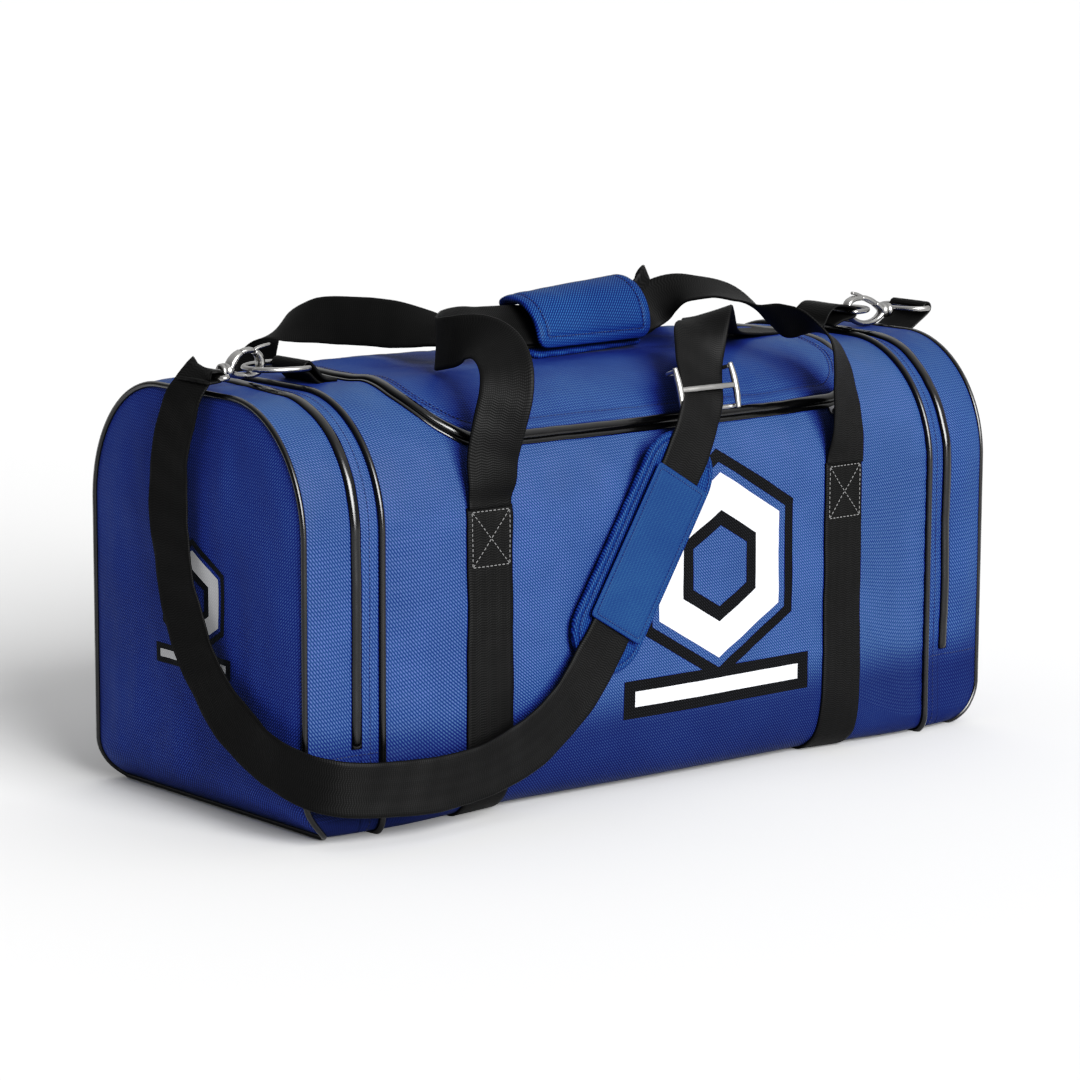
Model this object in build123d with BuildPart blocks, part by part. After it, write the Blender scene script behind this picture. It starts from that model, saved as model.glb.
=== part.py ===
from build123d import *
import math
import os

# Soft duffel bag. Millimetres. X runs along the bag's length, the front faces -Y, +Z is up.
# The origin is on the underside of the bottom panel, at its centre.

# Bag body: an arch section, constant between the inner seams and narrowing towards each end panel.
END_X = 313.0            # outer face of each end panel
ZIP_X = 273.0            # middle of each end pocket's zip
SEAM_X = 253.0           # inner piped seam of each end pocket
HALF_DEPTH = 134.0       # half the depth between the inner seams
END_HALF_DEPTH = 123.5   # half the depth at the end panels
TOP_Z = 290.0
BASE_Z = 2.0             # fabric underside beside the bottom panel
TOP_RADIUS = 88.0
LOW_RADIUS = 14.0
FABRIC = 2.4

# Bottom panel and the board that stiffens it.
BOTTOM_HALF_DEPTH = HALF_DEPTH - LOW_RADIUS
BOTTOM_THICKNESS = 4.4
BOARD_LENGTH = 484.0
BOARD_DEPTH = 226.0
BOARD_THICKNESS = 3.0

# Lid panel in the top of the bag, hinged along its rear edge.
LID_HALF_LENGTH = 202.0
LID_FRONT_Y = -114.8
LID_BACK_Y = 100.0
LID_CORNER = 45.0
LID_GAP = 1.0
LID_THICKNESS = 2.1
WELT_WIDTH = 5.0
WELT_PROUD = 2.6

# Piping and zip welts stand proud of the fabric.
PIPING_WIDTH = 7.0
PIPING_PROUD = 4.0
ZIP_WIDTH = 10.0
ZIP_LOW_Z = 62.0

# Webbing.
WEBBING = 38.0
WEBBING_THICKNESS = 2.2
BELT_X = 163.0
BELT_THICKNESS = 2.0
STITCH_LOW_Z = 172.0
STITCH_HIGH_Z = 214.0
HANDLE_WIDTH = 36.0

# Handle wrap: leans back at 45 degrees above the lid.
WRAP_X = 10.0
WRAP_Y = -15.0
WRAP_Z = 316.0
WRAP_LENGTH = 112.0
WRAP_HALF_WIDTH = 23.0
WRAP_SLOT = 3.1
WRAP_WALL = 3.0

# Strap hardware lies along X above the top of the bag.
HARDWARE_Y = -12.0
WIRE = 2.0               # radius of ring and eye wire
LEFT_HARDWARE_Z = 303.5
RIGHT_HARDWARE_Z = 303.5

LEFT, RIGHT = -1, 1


def half_depth(x):
    """Half the bag's depth at x."""
    share = max(0.0, abs(x) - SEAM_X) / (END_X - SEAM_X)
    return HALF_DEPTH + share * (END_HALF_DEPTH - HALF_DEPTH)


def arch(x, grow=0.0):
    """The bag's outline across X, grown outwards by grow."""
    half = half_depth(x)
    with BuildSketch(Plane.YZ.offset(x)) as outline:
        with Locations((0, (TOP_Z + BASE_Z) / 2)):
            Rectangle(2 * (half + grow), TOP_Z - BASE_Z + 2 * grow)
        fillet(outline.vertices().group_by(Axis.Y)[-1], TOP_RADIUS + grow)
        fillet(outline.vertices().group_by(Axis.Y)[0], LOW_RADIUS + grow)
    return outline.sketch


def tube(x0, x1, inner, outer):
    """Add a band of the bag's skin from x0 to x1, between two offsets from its outline."""
    loft(sections=[arch(x0, outer), arch(x1, outer)], ruled=True)
    loft(sections=[arch(x0, inner), arch(x1, inner)], ruled=True, mode=Mode.SUBTRACT)


def keep(low, high):
    """Keep what lies between two corners."""
    size = [b - a for a, b in zip(low, high)]
    with Locations(tuple((a + b) / 2 for a, b in zip(low, high))):
        Box(*size, mode=Mode.INTERSECT)


def block(low, high, mode=Mode.ADD):
    """A box between two corners."""
    size = [b - a for a, b in zip(low, high)]
    with Locations(tuple((a + b) / 2 for a, b in zip(low, high))):
        Box(*size, mode=mode)


def lid_outline(grow=0.0):
    """The lid's edge in plan, with two large front corners."""
    front, back = LID_FRONT_Y - grow, LID_BACK_Y + grow
    with BuildSketch(Plane.XY.offset(TOP_Z - 70)) as outline:
        with Locations((0, (front + back) / 2)):
            Rectangle(2 * (LID_HALF_LENGTH + grow), back - front)
        fillet(outline.vertices().group_by(Axis.Y)[0], LID_CORNER + grow)
    return outline.sketch


def ribbon(path, width, thickness, stretch=6):
    """Add flat webbing through (point, direction across it) pairs, in ruled stretches."""
    points = [Vector(*p) for p, _ in path]
    sections = []
    for i, (_, across) in enumerate(path):
        ahead = points[min(i + 1, len(points) - 1)]
        behind = points[max(i - 1, 0)]
        along = (ahead - behind).normalized()
        across = Vector(*across)
        across = (across - along * across.dot(along)).normalized()
        with BuildSketch(Plane(origin=points[i], x_dir=across, z_dir=along)) as section:
            Rectangle(width, thickness)
        sections.append(section.sketch)
    for low in range(0, len(sections) - 1, stretch):
        loft(sections=sections[low : low + stretch + 1], ruled=True)


def wire(a, b, radius=WIRE):
    """Add a round wire from a to b."""
    a, b = Vector(*a), Vector(*b)
    with BuildSketch(Plane(origin=a, z_dir=b - a)) as section:
        Circle(radius)
    extrude(to_extrude=section.sketch, amount=(b - a).length)


def frame_of_wire(x0, x1, half_width, z, radius=WIRE):
    """Add a closed rectangular frame of round wire, flat in a level plane."""
    corners = [
        (x0, HARDWARE_Y - half_width, z),
        (x1, HARDWARE_Y - half_width, z),
        (x1, HARDWARE_Y + half_width, z),
        (x0, HARDWARE_Y + half_width, z),
    ]
    for i in range(4):
        wire(corners[i], corners[(i + 1) % 4], radius)
        with Locations(corners[i]):
            Sphere(radius)


def finish(builder, name):
    """Label a piece and write it out."""
    builder.part.label = name
    export_step(builder.part, f"parts/{name}.step")


os.makedirs("parts", exist_ok=True)

# ---- Bag body ----

with BuildPart() as bottom_panel:
    end = SEAM_X - PIPING_WIDTH / 2 - 0.2
    block((-end, -BOTTOM_HALF_DEPTH, 0), (end, BOTTOM_HALF_DEPTH, BOTTOM_THICKNESS))
    for side in (LEFT, RIGHT):
        edge = side * BELT_X
        block(
            (edge - WEBBING / 2, -BOTTOM_HALF_DEPTH, 0),
            (edge + WEBBING / 2, BOTTOM_HALF_DEPTH, BELT_THICKNESS),
            Mode.SUBTRACT,
        )
finish(bottom_panel, "bottom_panel")

with BuildPart() as base_board:
    with BuildSketch(Plane.XY.offset(BOTTOM_THICKNESS)) as outline:
        RectangleRounded(BOARD_LENGTH, BOARD_DEPTH, 15)
    extrude(to_extrude=outline.sketch, amount=BOARD_THICKNESS)
finish(base_board, "base_board")

with BuildPart() as front_panel:
    tube(-SEAM_X, SEAM_X, -FABRIC, 0)
    keep((-SEAM_X, -150, BASE_Z), (SEAM_X, LID_FRONT_Y - LID_GAP, TOP_Z))
    block(
        (-SEAM_X, -BOTTOM_HALF_DEPTH, 0),
        (SEAM_X, LID_FRONT_Y, BOTTOM_THICKNESS),
        Mode.SUBTRACT,
    )
finish(front_panel, "front_panel")

with BuildPart() as back_panel:
    tube(-SEAM_X, SEAM_X, -FABRIC, 0)
    keep((-SEAM_X, LID_BACK_Y + LID_GAP / 2, BASE_Z), (SEAM_X, 150, TOP_Z))
    block(
        (-SEAM_X, LID_BACK_Y, 0),
        (SEAM_X, BOTTOM_HALF_DEPTH, BOTTOM_THICKNESS),
        Mode.SUBTRACT,
    )
finish(back_panel, "back_panel")

for side, name in ((LEFT, "top_strip_left"), (RIGHT, "top_strip_right")):
    inner_x = LID_HALF_LENGTH - LID_CORNER - 2
    with BuildPart() as strip:
        tube(*sorted((side * inner_x, side * SEAM_X)), -FABRIC, 0)
        keep(
            (-SEAM_X, LID_FRONT_Y - LID_GAP, TOP_Z - 70),
            (SEAM_X, LID_BACK_Y + LID_GAP / 2, TOP_Z),
        )
        extrude(to_extrude=lid_outline(LID_GAP / 2), amount=100, mode=Mode.SUBTRACT)
        if side == LEFT:
            keep((-SEAM_X, -150, 0), (-inner_x, 150, TOP_Z))
        else:
            keep((inner_x, -150, 0), (SEAM_X, 150, TOP_Z))
    finish(strip, name)

with BuildPart() as lid_zip:
    tube(-LID_HALF_LENGTH - 9, LID_HALF_LENGTH + 9, -FABRIC - 1.0, -FABRIC)
    extrude(to_extrude=lid_outline(8), amount=100, mode=Mode.INTERSECT)
    extrude(to_extrude=lid_outline(-8), amount=100, mode=Mode.SUBTRACT)
    block((-300, LID_BACK_Y - 9, 0), (300, 150, TOP_Z), Mode.SUBTRACT)
finish(lid_zip, "lid_zip")

for side, word in ((LEFT, "left"), (RIGHT, "right")):
    with BuildPart() as partition:
        extrude(to_extrude=arch(side * (SEAM_X - 2), -FABRIC), amount=-side * 1.6)
    finish(partition, f"{word}_partition")

    with BuildPart() as inner_gusset:
        tube(*sorted((side * SEAM_X, side * ZIP_X)), -FABRIC, 0)
    finish(inner_gusset, f"{word}_inner_gusset")

    with BuildPart() as outer_gusset:
        tube(*sorted((side * ZIP_X, side * (END_X - FABRIC))), -FABRIC, 0)
    finish(outer_gusset, f"{word}_outer_gusset")

    with BuildPart() as end_panel:
        loft(sections=[arch(side * (END_X - FABRIC)), arch(side * END_X)], ruled=True)
    finish(end_panel, f"{word}_end_panel")

    for place, x in (("inner", SEAM_X), ("end", END_X)):
        with BuildPart() as piping:
            section = arch(side * x, PIPING_PROUD)
            hole = arch(side * x, 0.0)
            extrude(to_extrude=section, amount=PIPING_WIDTH / 2, both=True)
            extrude(to_extrude=hole, amount=PIPING_WIDTH / 2, both=True, mode=Mode.SUBTRACT)
            loft(sections=[arch(side * (x - 10)), arch(side * x)], ruled=True, mode=Mode.SUBTRACT)
            keep((-400, -200, 0), (400, 200, 400))
        finish(piping, f"{word}_{place}_piping")

    with BuildPart() as pocket_zip:
        ends = sorted((side * (ZIP_X - ZIP_WIDTH / 2), side * (ZIP_X + ZIP_WIDTH / 2)))
        tube(*ends, 0, PIPING_PROUD - 0.5)
        keep((-400, -200, ZIP_LOW_Z), (400, 200, 400))
    finish(pocket_zip, f"{word}_pocket_zip")

    with BuildPart() as belt:
        x0 = side * BELT_X - WEBBING / 2
        tube(x0, x0 + WEBBING, 0, BELT_THICKNESS)
        keep((-400, -200, 0), (400, 200, STITCH_HIGH_Z))
        for face in (-1, 1):
            y0, y1 = sorted((face * (HALF_DEPTH + BELT_THICKNESS - 0.5), face * (HALF_DEPTH + 4.2)))
            low_x = side * BELT_X - HANDLE_WIDTH / 2
            block((low_x, y0, STITCH_LOW_Z), (low_x + HANDLE_WIDTH, y1, STITCH_HIGH_Z))
    finish(belt, f"{word}_webbing_belt")

# ---- Lid ----

with BuildPart() as lid:
    tube(-LID_HALF_LENGTH, LID_HALF_LENGTH, -LID_THICKNESS, 0)
    extrude(to_extrude=lid_outline(), amount=100, mode=Mode.INTERSECT)
finish(lid, "lid")

with BuildPart() as lid_welt:
    tube(-LID_HALF_LENGTH, LID_HALF_LENGTH, 0, WELT_PROUD)
    extrude(to_extrude=lid_outline(), amount=100, mode=Mode.INTERSECT)
    extrude(to_extrude=lid_outline(-WELT_WIDTH), amount=100, mode=Mode.SUBTRACT)
    block((-300, LID_BACK_Y - 12, 0), (300, 150, TOP_Z + 20), Mode.SUBTRACT)
finish(lid_welt, "lid_welt")

# ---- Handles: flat webbing from four sewn legs into one wrapped grip ----

LEAN = math.sqrt(0.5)
GRIP_FRONT = (WRAP_Y - 1.5 * LEAN, WRAP_Z + 1.5 * LEAN)
GRIP_BACK = (WRAP_Y + 1.5 * LEAN, WRAP_Z - 1.5 * LEAN)
LEG_Y = HALF_DEPTH + 3.2
INTO = (0, -LEAN, -LEAN)
OUT = (0, LEAN, LEAN)

front_path = [
    ((-BELT_X, -LEG_Y, STITCH_HIGH_Z + 0.6), (1, 0, 0)),
    ((-BELT_X, -LEG_Y - 1, 250), (1, 0, 0)),
    ((-BELT_X, -LEG_Y - 1, 275), (1, 0, 0)),
    ((-BELT_X + 3, -LEG_Y + 5, 300), (1, -0.05, -0.05)),
    ((-BELT_X + 13, -LEG_Y + 19, 322), (0.9, -0.25, -0.3)),
    ((-BELT_X + 31, -LEG_Y + 42, 334), (0.75, -0.45, -0.5)),
    ((-BELT_X + 56, -LEG_Y + 72, 336), (0.5, -0.6, -0.65)),
    ((-BELT_X + 86, -31, 327), (0.2, -0.7, -0.7)),
    ((-58, *GRIP_FRONT), INTO),
    ((-48, *GRIP_FRONT), INTO),
    ((10, *GRIP_FRONT), INTO),
    ((68, *GRIP_FRONT), INTO),
    ((78, *GRIP_FRONT), INTO),
    ((96, -24, 325), INTO),
    ((118, -44, 336), (-0.5, -0.6, -0.65)),
    ((138, -72, 336), (-0.75, -0.45, -0.5)),
    ((152, -104, 324), (-0.9, -0.25, -0.3)),
    ((BELT_X - 3, -LEG_Y + 5, 300), (-1, -0.05, -0.05)),
    ((BELT_X, -LEG_Y - 1, 275), (-1, 0, 0)),
    ((BELT_X, -LEG_Y - 1, 250), (-1, 0, 0)),
    ((BELT_X, -LEG_Y, STITCH_HIGH_Z + 0.6), (-1, 0, 0)),
]
with BuildPart() as front_handle:
    ribbon(front_path, HANDLE_WIDTH, WEBBING_THICKNESS)
finish(front_handle, "front_handle")

back_path = [
    ((-BELT_X, LEG_Y, STITCH_HIGH_Z + 0.6), (1, 0, 0)),
    ((-BELT_X, LEG_Y + 1, 250), (1, 0, 0)),
    ((-BELT_X, LEG_Y + 1, 275), (1, 0, 0)),
    ((-BELT_X + 3, LEG_Y - 6, 296), (1, 0.05, 0.0)),
    ((-BELT_X + 14, LEG_Y - 24, 310), (0.9, 0.4, 0.1)),
    ((-BELT_X + 34, LEG_Y - 52, 316), (0.75, 0.6, 0.2)),
    ((-BELT_X + 60, LEG_Y - 88, 317), (0.55, 0.75, 0.35)),
    ((-BELT_X + 86, LEG_Y - 124, 315), (0.3, 0.75, 0.55)),
    ((-58, *GRIP_BACK), OUT),
    ((-48, *GRIP_BACK), OUT),
    ((10, *GRIP_BACK), OUT),
    ((68, *GRIP_BACK), OUT),
    ((78, *GRIP_BACK), OUT),
    ((BELT_X - 74, LEG_Y - 128, 315), (-0.3, 0.75, 0.55)),
    ((BELT_X - 50, LEG_Y - 92, 317), (-0.55, 0.75, 0.35)),
    ((BELT_X - 28, LEG_Y - 54, 316), (-0.75, 0.6, 0.2)),
    ((BELT_X - 11, LEG_Y - 24, 310), (-0.9, 0.4, 0.1)),
    ((BELT_X - 2, LEG_Y - 6, 296), (-1, 0.05, 0.0)),
    ((BELT_X, LEG_Y + 1, 275), (-1, 0, 0)),
    ((BELT_X, LEG_Y + 1, 250), (-1, 0, 0)),
    ((BELT_X, LEG_Y, STITCH_HIGH_Z + 0.6), (-1, 0, 0)),
]
with BuildPart() as back_handle:
    ribbon(back_path, HANDLE_WIDTH, WEBBING_THICKNESS)
finish(back_handle, "back_handle")

# The wrap's section, drawn across X: local x runs up the lean, local y out of its rear face.
wrap_plane = Plane(
    origin=(WRAP_X - WRAP_LENGTH / 2, WRAP_Y, WRAP_Z),
    x_dir=(0, LEAN, LEAN),
    z_dir=(1, 0, 0),
)
outer = WRAP_SLOT + WRAP_WALL
with BuildPart() as handle_wrap:
    with BuildSketch(wrap_plane) as section:
        with Locations((0, -outer + WRAP_WALL / 2)):
            Rectangle(2 * WRAP_HALF_WIDTH, WRAP_WALL)
        for end in (-1, 1):
            with Locations((end * (WRAP_HALF_WIDTH - 0.9), -WRAP_WALL / 2)):
                Rectangle(1.8, 2 * WRAP_SLOT + WRAP_WALL)
    extrude(to_extrude=section.sketch, amount=WRAP_LENGTH)
with BuildPart() as wrap_flap:
    with BuildSketch(wrap_plane) as section:
        with Locations((0, outer - WRAP_WALL / 2 + 0.4)):
            RectangleRounded(2 * WRAP_HALF_WIDTH, WRAP_WALL, 1.0)
    extrude(to_extrude=section.sketch, amount=WRAP_LENGTH)
finish(handle_wrap, "handle_wrap")
finish(wrap_flap, "wrap_flap")

# ---- Strap hardware: tab, ring, snap hook with gate, swivel eye ----

EYE_HALF_WIDTH = 22.0
RING_HALF_WIDTH = 22.0
HARDWARE = {
    LEFT: {"z": LEFT_HARDWARE_Z, "bar": -304.0, "neck": -288.0, "ring": -262.0, "tab": -240.0},
    RIGHT: {"z": RIGHT_HARDWARE_Z, "bar": 282.0, "neck": 298.0, "ring": 324.0, "tab": 346.0},
}

# Both strap rings are one shape, made at the left place and moved.
FIRST_RING = HARDWARE[LEFT]
with BuildPart() as ring_shape:
    frame_of_wire(FIRST_RING["ring"], FIRST_RING["tab"], RING_HALF_WIDTH, FIRST_RING["z"])

for side, word in ((LEFT, "left"), (RIGHT, "right")):
    at = HARDWARE[side]
    z = at["z"]
    toward = 1                  # both chains run from the strap eye towards +X
    bar, neck, ring, tab = at["bar"], at["neck"], at["ring"], at["tab"]
    with BuildPart() as swivel_eye:
        frame_of_wire(bar, neck - 4, EYE_HALF_WIDTH, z)
        wire((neck - 6, HARDWARE_Y, z), (neck + 3, HARDWARE_Y, z), 2.2)
        wire((neck + 3, HARDWARE_Y, z), (neck + 5, HARDWARE_Y, z), 3.4)
    finish(swivel_eye, f"{word}_swivel_eye")

    # The hook's barrel turns on the swivel post, and its jaw holds the ring's near bar.
    with BuildPart() as snap_hook:
        wire((neck - 1, HARDWARE_Y, z), (neck + 9, HARDWARE_Y, z), 5.6)
        jaw_plane = Plane(origin=(neck + 20, HARDWARE_Y + 3, z), x_dir=(1, 0, 0), z_dir=(0, -1, 0))
        with BuildSketch(jaw_plane) as jaw:
            RectangleRounded(26, 18, 8)
            RectangleRounded(17, 11, 5.2, mode=Mode.SUBTRACT)
            with Locations((1, 8)):
                Rectangle(12, 6, mode=Mode.SUBTRACT)
        extrude(to_extrude=jaw.sketch, amount=6)
        with BuildSketch(Plane(origin=(neck - 1.5, HARDWARE_Y, z), z_dir=(1, 0, 0))) as bore:
            Circle(2.6)
        extrude(to_extrude=bore.sketch, amount=4.5, mode=Mode.SUBTRACT)
        with BuildSketch(Plane(origin=(neck + 2.7, HARDWARE_Y, z), z_dir=(1, 0, 0))) as bore:
            Circle(3.8)
        extrude(to_extrude=bore.sketch, amount=2.7, mode=Mode.SUBTRACT)
    finish(snap_hook, f"{word}_snap_hook")

    with BuildPart() as gate:
        block((neck + 15.6, HARDWARE_Y - 2, z + 5.7), (neck + 25.2, HARDWARE_Y + 2, z + 8.7))
    finish(gate, f"{word}_hook_gate")

    with BuildPart() as strap_ring:
        add(ring_shape.part.moved(Location((ring - FIRST_RING["ring"], 0, z - FIRST_RING["z"]))))
    finish(strap_ring, f"{word}_strap_ring")

bar_turn = WIRE + 0.7 + WEBBING_THICKNESS / 2
ACROSS = (0, 1, 0)
BACK_ACROSS = (0, -1, 0)


def loop_round(x, z, start, stop, across=ACROSS):
    """Webbing points round a bar along Y, from one angle to another."""
    points = []
    for i in range(7):
        angle = math.radians(start + (stop - start) * i / 6)
        point = (x + bar_turn * math.cos(angle), HARDWARE_Y, z + bar_turn * math.sin(angle))
        points.append((point, across))
    return points


with BuildPart() as left_tab:
    x, z = HARDWARE[LEFT]["tab"], LEFT_HARDWARE_Z
    over = [((x + 24, HARDWARE_Y, TOP_Z + 3.5), ACROSS), ((x + 14, HARDWARE_Y, TOP_Z + 4.5), ACROSS)]
    under = [((x + 10, HARDWARE_Y, TOP_Z + 1.1), ACROSS), ((x + 24, HARDWARE_Y, TOP_Z + 1.1), ACROSS)]
    ribbon(over + loop_round(x, z, 80, 270) + under, WEBBING, WEBBING_THICKNESS)
finish(left_tab, "left_ring_tab")

with BuildPart() as right_tab:
    x, z = HARDWARE[RIGHT]["tab"], RIGHT_HARDWARE_Z
    tail = [
        ((x - 12, HARDWARE_Y, z - 12), ACROSS),
        ((END_X + 8, HARDWARE_Y, 283), ACROSS),
        ((END_X + 1.1, HARDWARE_Y, 272), ACROSS),
        ((END_X + 1.1, HARDWARE_Y, 248), ACROSS),
    ]
    ribbon(loop_round(x, z, 170, -60) + tail, WEBBING, WEBBING_THICKNESS)
finish(right_tab, "right_ring_tab")

# ---- Shoulder strap with its pad and slide adjuster ----

strap_path = [((HARDWARE[LEFT]["bar"] - 9, HARDWARE_Y, LEFT_HARDWARE_Z - 4.4), ACROSS)]
strap_path += loop_round(HARDWARE[LEFT]["bar"], LEFT_HARDWARE_Z, -90, 90)
strap_path += [
    ((-315, HARDWARE_Y + 2, 305), ACROSS),
    ((-324, HARDWARE_Y + 6, 290), ACROSS),
    ((-327, 4, 262), (-0.1, 1, 0)),
    ((-327, 10, 228), (-0.15, 1, 0)),
    ((-327, 8, 190), (-0.15, 1, -0.05)),
    ((-327, -1, 152), (-0.15, 0.97, -0.2)),
    ((-327, -17, 120), (-0.1, 0.85, -0.5)),
    ((-327, -45, 88), (-0.1, 0.65, -0.75)),
    ((-328, -82, 66), (-0.05, 0.45, -0.9)),
    ((-326, -120, 53), (0, 0.25, -0.97)),
    ((-309, -152, 45), (0, 0.1, -1)),
    ((-264, -162, 39.5), (0, 0, -1)),
    ((-224, -161.5, 37.8), (0.02, 0, -1)),
    ((-186, -158.5, 41), (0.13, 0, -0.99)),
    ((-150, -155, 50.5), (0.37, 0, -0.93)),
    ((-120, -152, 66), (0.57, 0, -0.82)),
    ((-96, -150, 87), (0.7, 0, -0.7)),
    ((-76, -149.2, 114), (0.83, 0, -0.55)),
    ((-39, -149.2, 173.5), (0.855, 0, -0.518)),
    ((-5, -149.4, 232), (0.86, 0, -0.5)),
    ((8, -148.8, 256), (0.95, 0, -0.3)),
    ((18, -140.6, 273), (1, 0, -0.05)),
    ((30, -122, 298), (1, 0, 0)),
    ((42, -111, 315), (0.96, -0.2, 0.1)),
    ((59, -97, 324), (0.86, -0.48, 0.1)),
    ((82, -74, 318), (0.72, -0.68, 0)),
    ((103, -55, 308), (0.6, -0.8, 0)),
    ((124, -38, 301), (0.45, -0.9, 0)),
    ((180, -20, 299), (0.2, -1, 0)),
    ((236, -13, 303), BACK_ACROSS),
    ((270, HARDWARE_Y, 307.2), BACK_ACROSS),
]
strap_path += loop_round(HARDWARE[RIGHT]["bar"], RIGHT_HARDWARE_Z, 90, -90, BACK_ACROSS)
tail_end = (HARDWARE[RIGHT]["bar"] - 10, HARDWARE_Y, RIGHT_HARDWARE_Z - 4.4)
strap_path += [(tail_end, BACK_ACROSS)]
with BuildPart() as shoulder_strap:
    ribbon(strap_path, WEBBING, WEBBING_THICKNESS, stretch=12)
finish(shoulder_strap, "shoulder_strap")

PAD_ANGLE = 58.8
PAD_LENGTH, PAD_WIDTH, PAD_THICKNESS = 178, 65, 8
SLEEVE_LENGTH, SLEEVE_WIDTH, SLEEVE_THICKNESS = 118, 52, 1.6
SLEEVE_OUT = 5.0
pad_plane = Plane(
    origin=(-39, -147.4, 171),
    x_dir=(math.cos(math.radians(PAD_ANGLE)), 0, math.sin(math.radians(PAD_ANGLE))),
    z_dir=(0, 1, 0),
)
with BuildPart() as shoulder_pad:
    with BuildSketch(pad_plane) as outline:
        RectangleRounded(PAD_LENGTH, PAD_WIDTH, 29)
    extrude(to_extrude=outline.sketch, amount=PAD_THICKNESS)
    fillet(shoulder_pad.edges().group_by(Axis.Y)[-1], 2.5)
finish(shoulder_pad, "shoulder_pad")

with BuildPart() as pad_sleeve:
    with BuildSketch(pad_plane.offset(-SLEEVE_OUT)) as outline:
        RectangleRounded(SLEEVE_LENGTH, SLEEVE_WIDTH, 5)
    extrude(to_extrude=outline.sketch, amount=SLEEVE_THICKNESS)
finish(pad_sleeve, "pad_sleeve")

GLIDE_LENGTH, GLIDE_HEIGHT, GLIDE_THICKNESS = 54, 30, 3
GLIDE_SLOT_LENGTH, GLIDE_SLOT_HEIGHT, GLIDE_SLOT_PITCH = 42, 6.5, 12
with BuildPart() as tri_glide:
    glide_plane = Plane(origin=(24, -139.8, 280.3), x_dir=(1, 0, 0), z_dir=(0, -0.84, 0.54))
    with BuildSketch(glide_plane) as outline:
        RectangleRounded(GLIDE_LENGTH, GLIDE_HEIGHT, 4)
        with GridLocations(0, GLIDE_SLOT_PITCH, 1, 2):
            Rectangle(GLIDE_SLOT_LENGTH, GLIDE_SLOT_HEIGHT, mode=Mode.SUBTRACT)
    extrude(to_extrude=outline.sketch, amount=GLIDE_THICKNESS)
finish(tri_glide, "tri_glide")

# ---- Zip sliders and their pulls ----

lid_line_y = LID_FRONT_Y - 5.5
lid_line_angle = math.acos((-lid_line_y - (HALF_DEPTH - TOP_RADIUS)) / TOP_RADIUS)
outward = (0, -math.cos(lid_line_angle), math.sin(lid_line_angle))
lid_line_z = TOP_Z - TOP_RADIUS + TOP_RADIUS * math.sin(lid_line_angle)
slider_plane = Plane(
    origin=(BELT_X, lid_line_y + 0.4 * outward[1], lid_line_z + 0.4 * outward[2]),
    x_dir=(1, 0, 0),
    z_dir=outward,
)
with BuildPart() as lid_slider:
    with BuildSketch(slider_plane) as outline:
        RectangleRounded(13, 7, 2)
    extrude(to_extrude=outline.sketch, amount=3.4)
finish(lid_slider, "lid_zip_slider")
with BuildPart() as lid_pull:
    with BuildSketch(slider_plane.offset(3.7)) as outline:
        with Locations((0, -9)):
            RectangleRounded(6, 20, 2)
    extrude(to_extrude=outline.sketch, amount=1.6)
finish(lid_pull, "lid_zip_pull")

for side, word in ((LEFT, "left"), (RIGHT, "right")):
    skin_y = half_depth(ZIP_X - ZIP_WIDTH / 2) + PIPING_PROUD
    with BuildPart() as slider:
        block((side * ZIP_X - 4.5, skin_y, 66), (side * ZIP_X + 4.5, skin_y + 3.4, 80))
    finish(slider, f"{word}_zip_slider")
    with BuildPart() as pull:
        block((side * ZIP_X - 3, skin_y + 3.7, 54), (side * ZIP_X + 3, skin_y + 5.3, 76))
    finish(pull, f"{word}_zip_pull")
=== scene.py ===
import math
from contextlib import contextmanager

import bmesh
import bpy
import numpy as np
from mathutils import Matrix, Vector


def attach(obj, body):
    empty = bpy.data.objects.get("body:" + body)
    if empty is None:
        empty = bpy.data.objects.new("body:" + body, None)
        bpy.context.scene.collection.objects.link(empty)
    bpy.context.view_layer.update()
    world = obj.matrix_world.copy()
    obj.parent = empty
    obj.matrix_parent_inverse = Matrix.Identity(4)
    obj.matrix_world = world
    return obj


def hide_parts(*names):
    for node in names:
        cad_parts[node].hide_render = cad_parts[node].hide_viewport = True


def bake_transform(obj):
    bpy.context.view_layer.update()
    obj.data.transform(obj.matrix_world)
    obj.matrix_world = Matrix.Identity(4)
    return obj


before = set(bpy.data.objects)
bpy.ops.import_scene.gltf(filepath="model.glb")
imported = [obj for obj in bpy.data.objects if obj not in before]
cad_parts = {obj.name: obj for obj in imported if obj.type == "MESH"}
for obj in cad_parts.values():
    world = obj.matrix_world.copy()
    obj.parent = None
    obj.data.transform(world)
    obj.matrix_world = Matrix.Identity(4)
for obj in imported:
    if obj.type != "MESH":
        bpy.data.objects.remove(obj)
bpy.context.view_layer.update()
MM = 0.001
TAU = 2 * math.pi
DIAGONAL = 0.70711           # one over the root of two
scene = bpy.context.scene

# ---------------------------------------------------------------- camera

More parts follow.
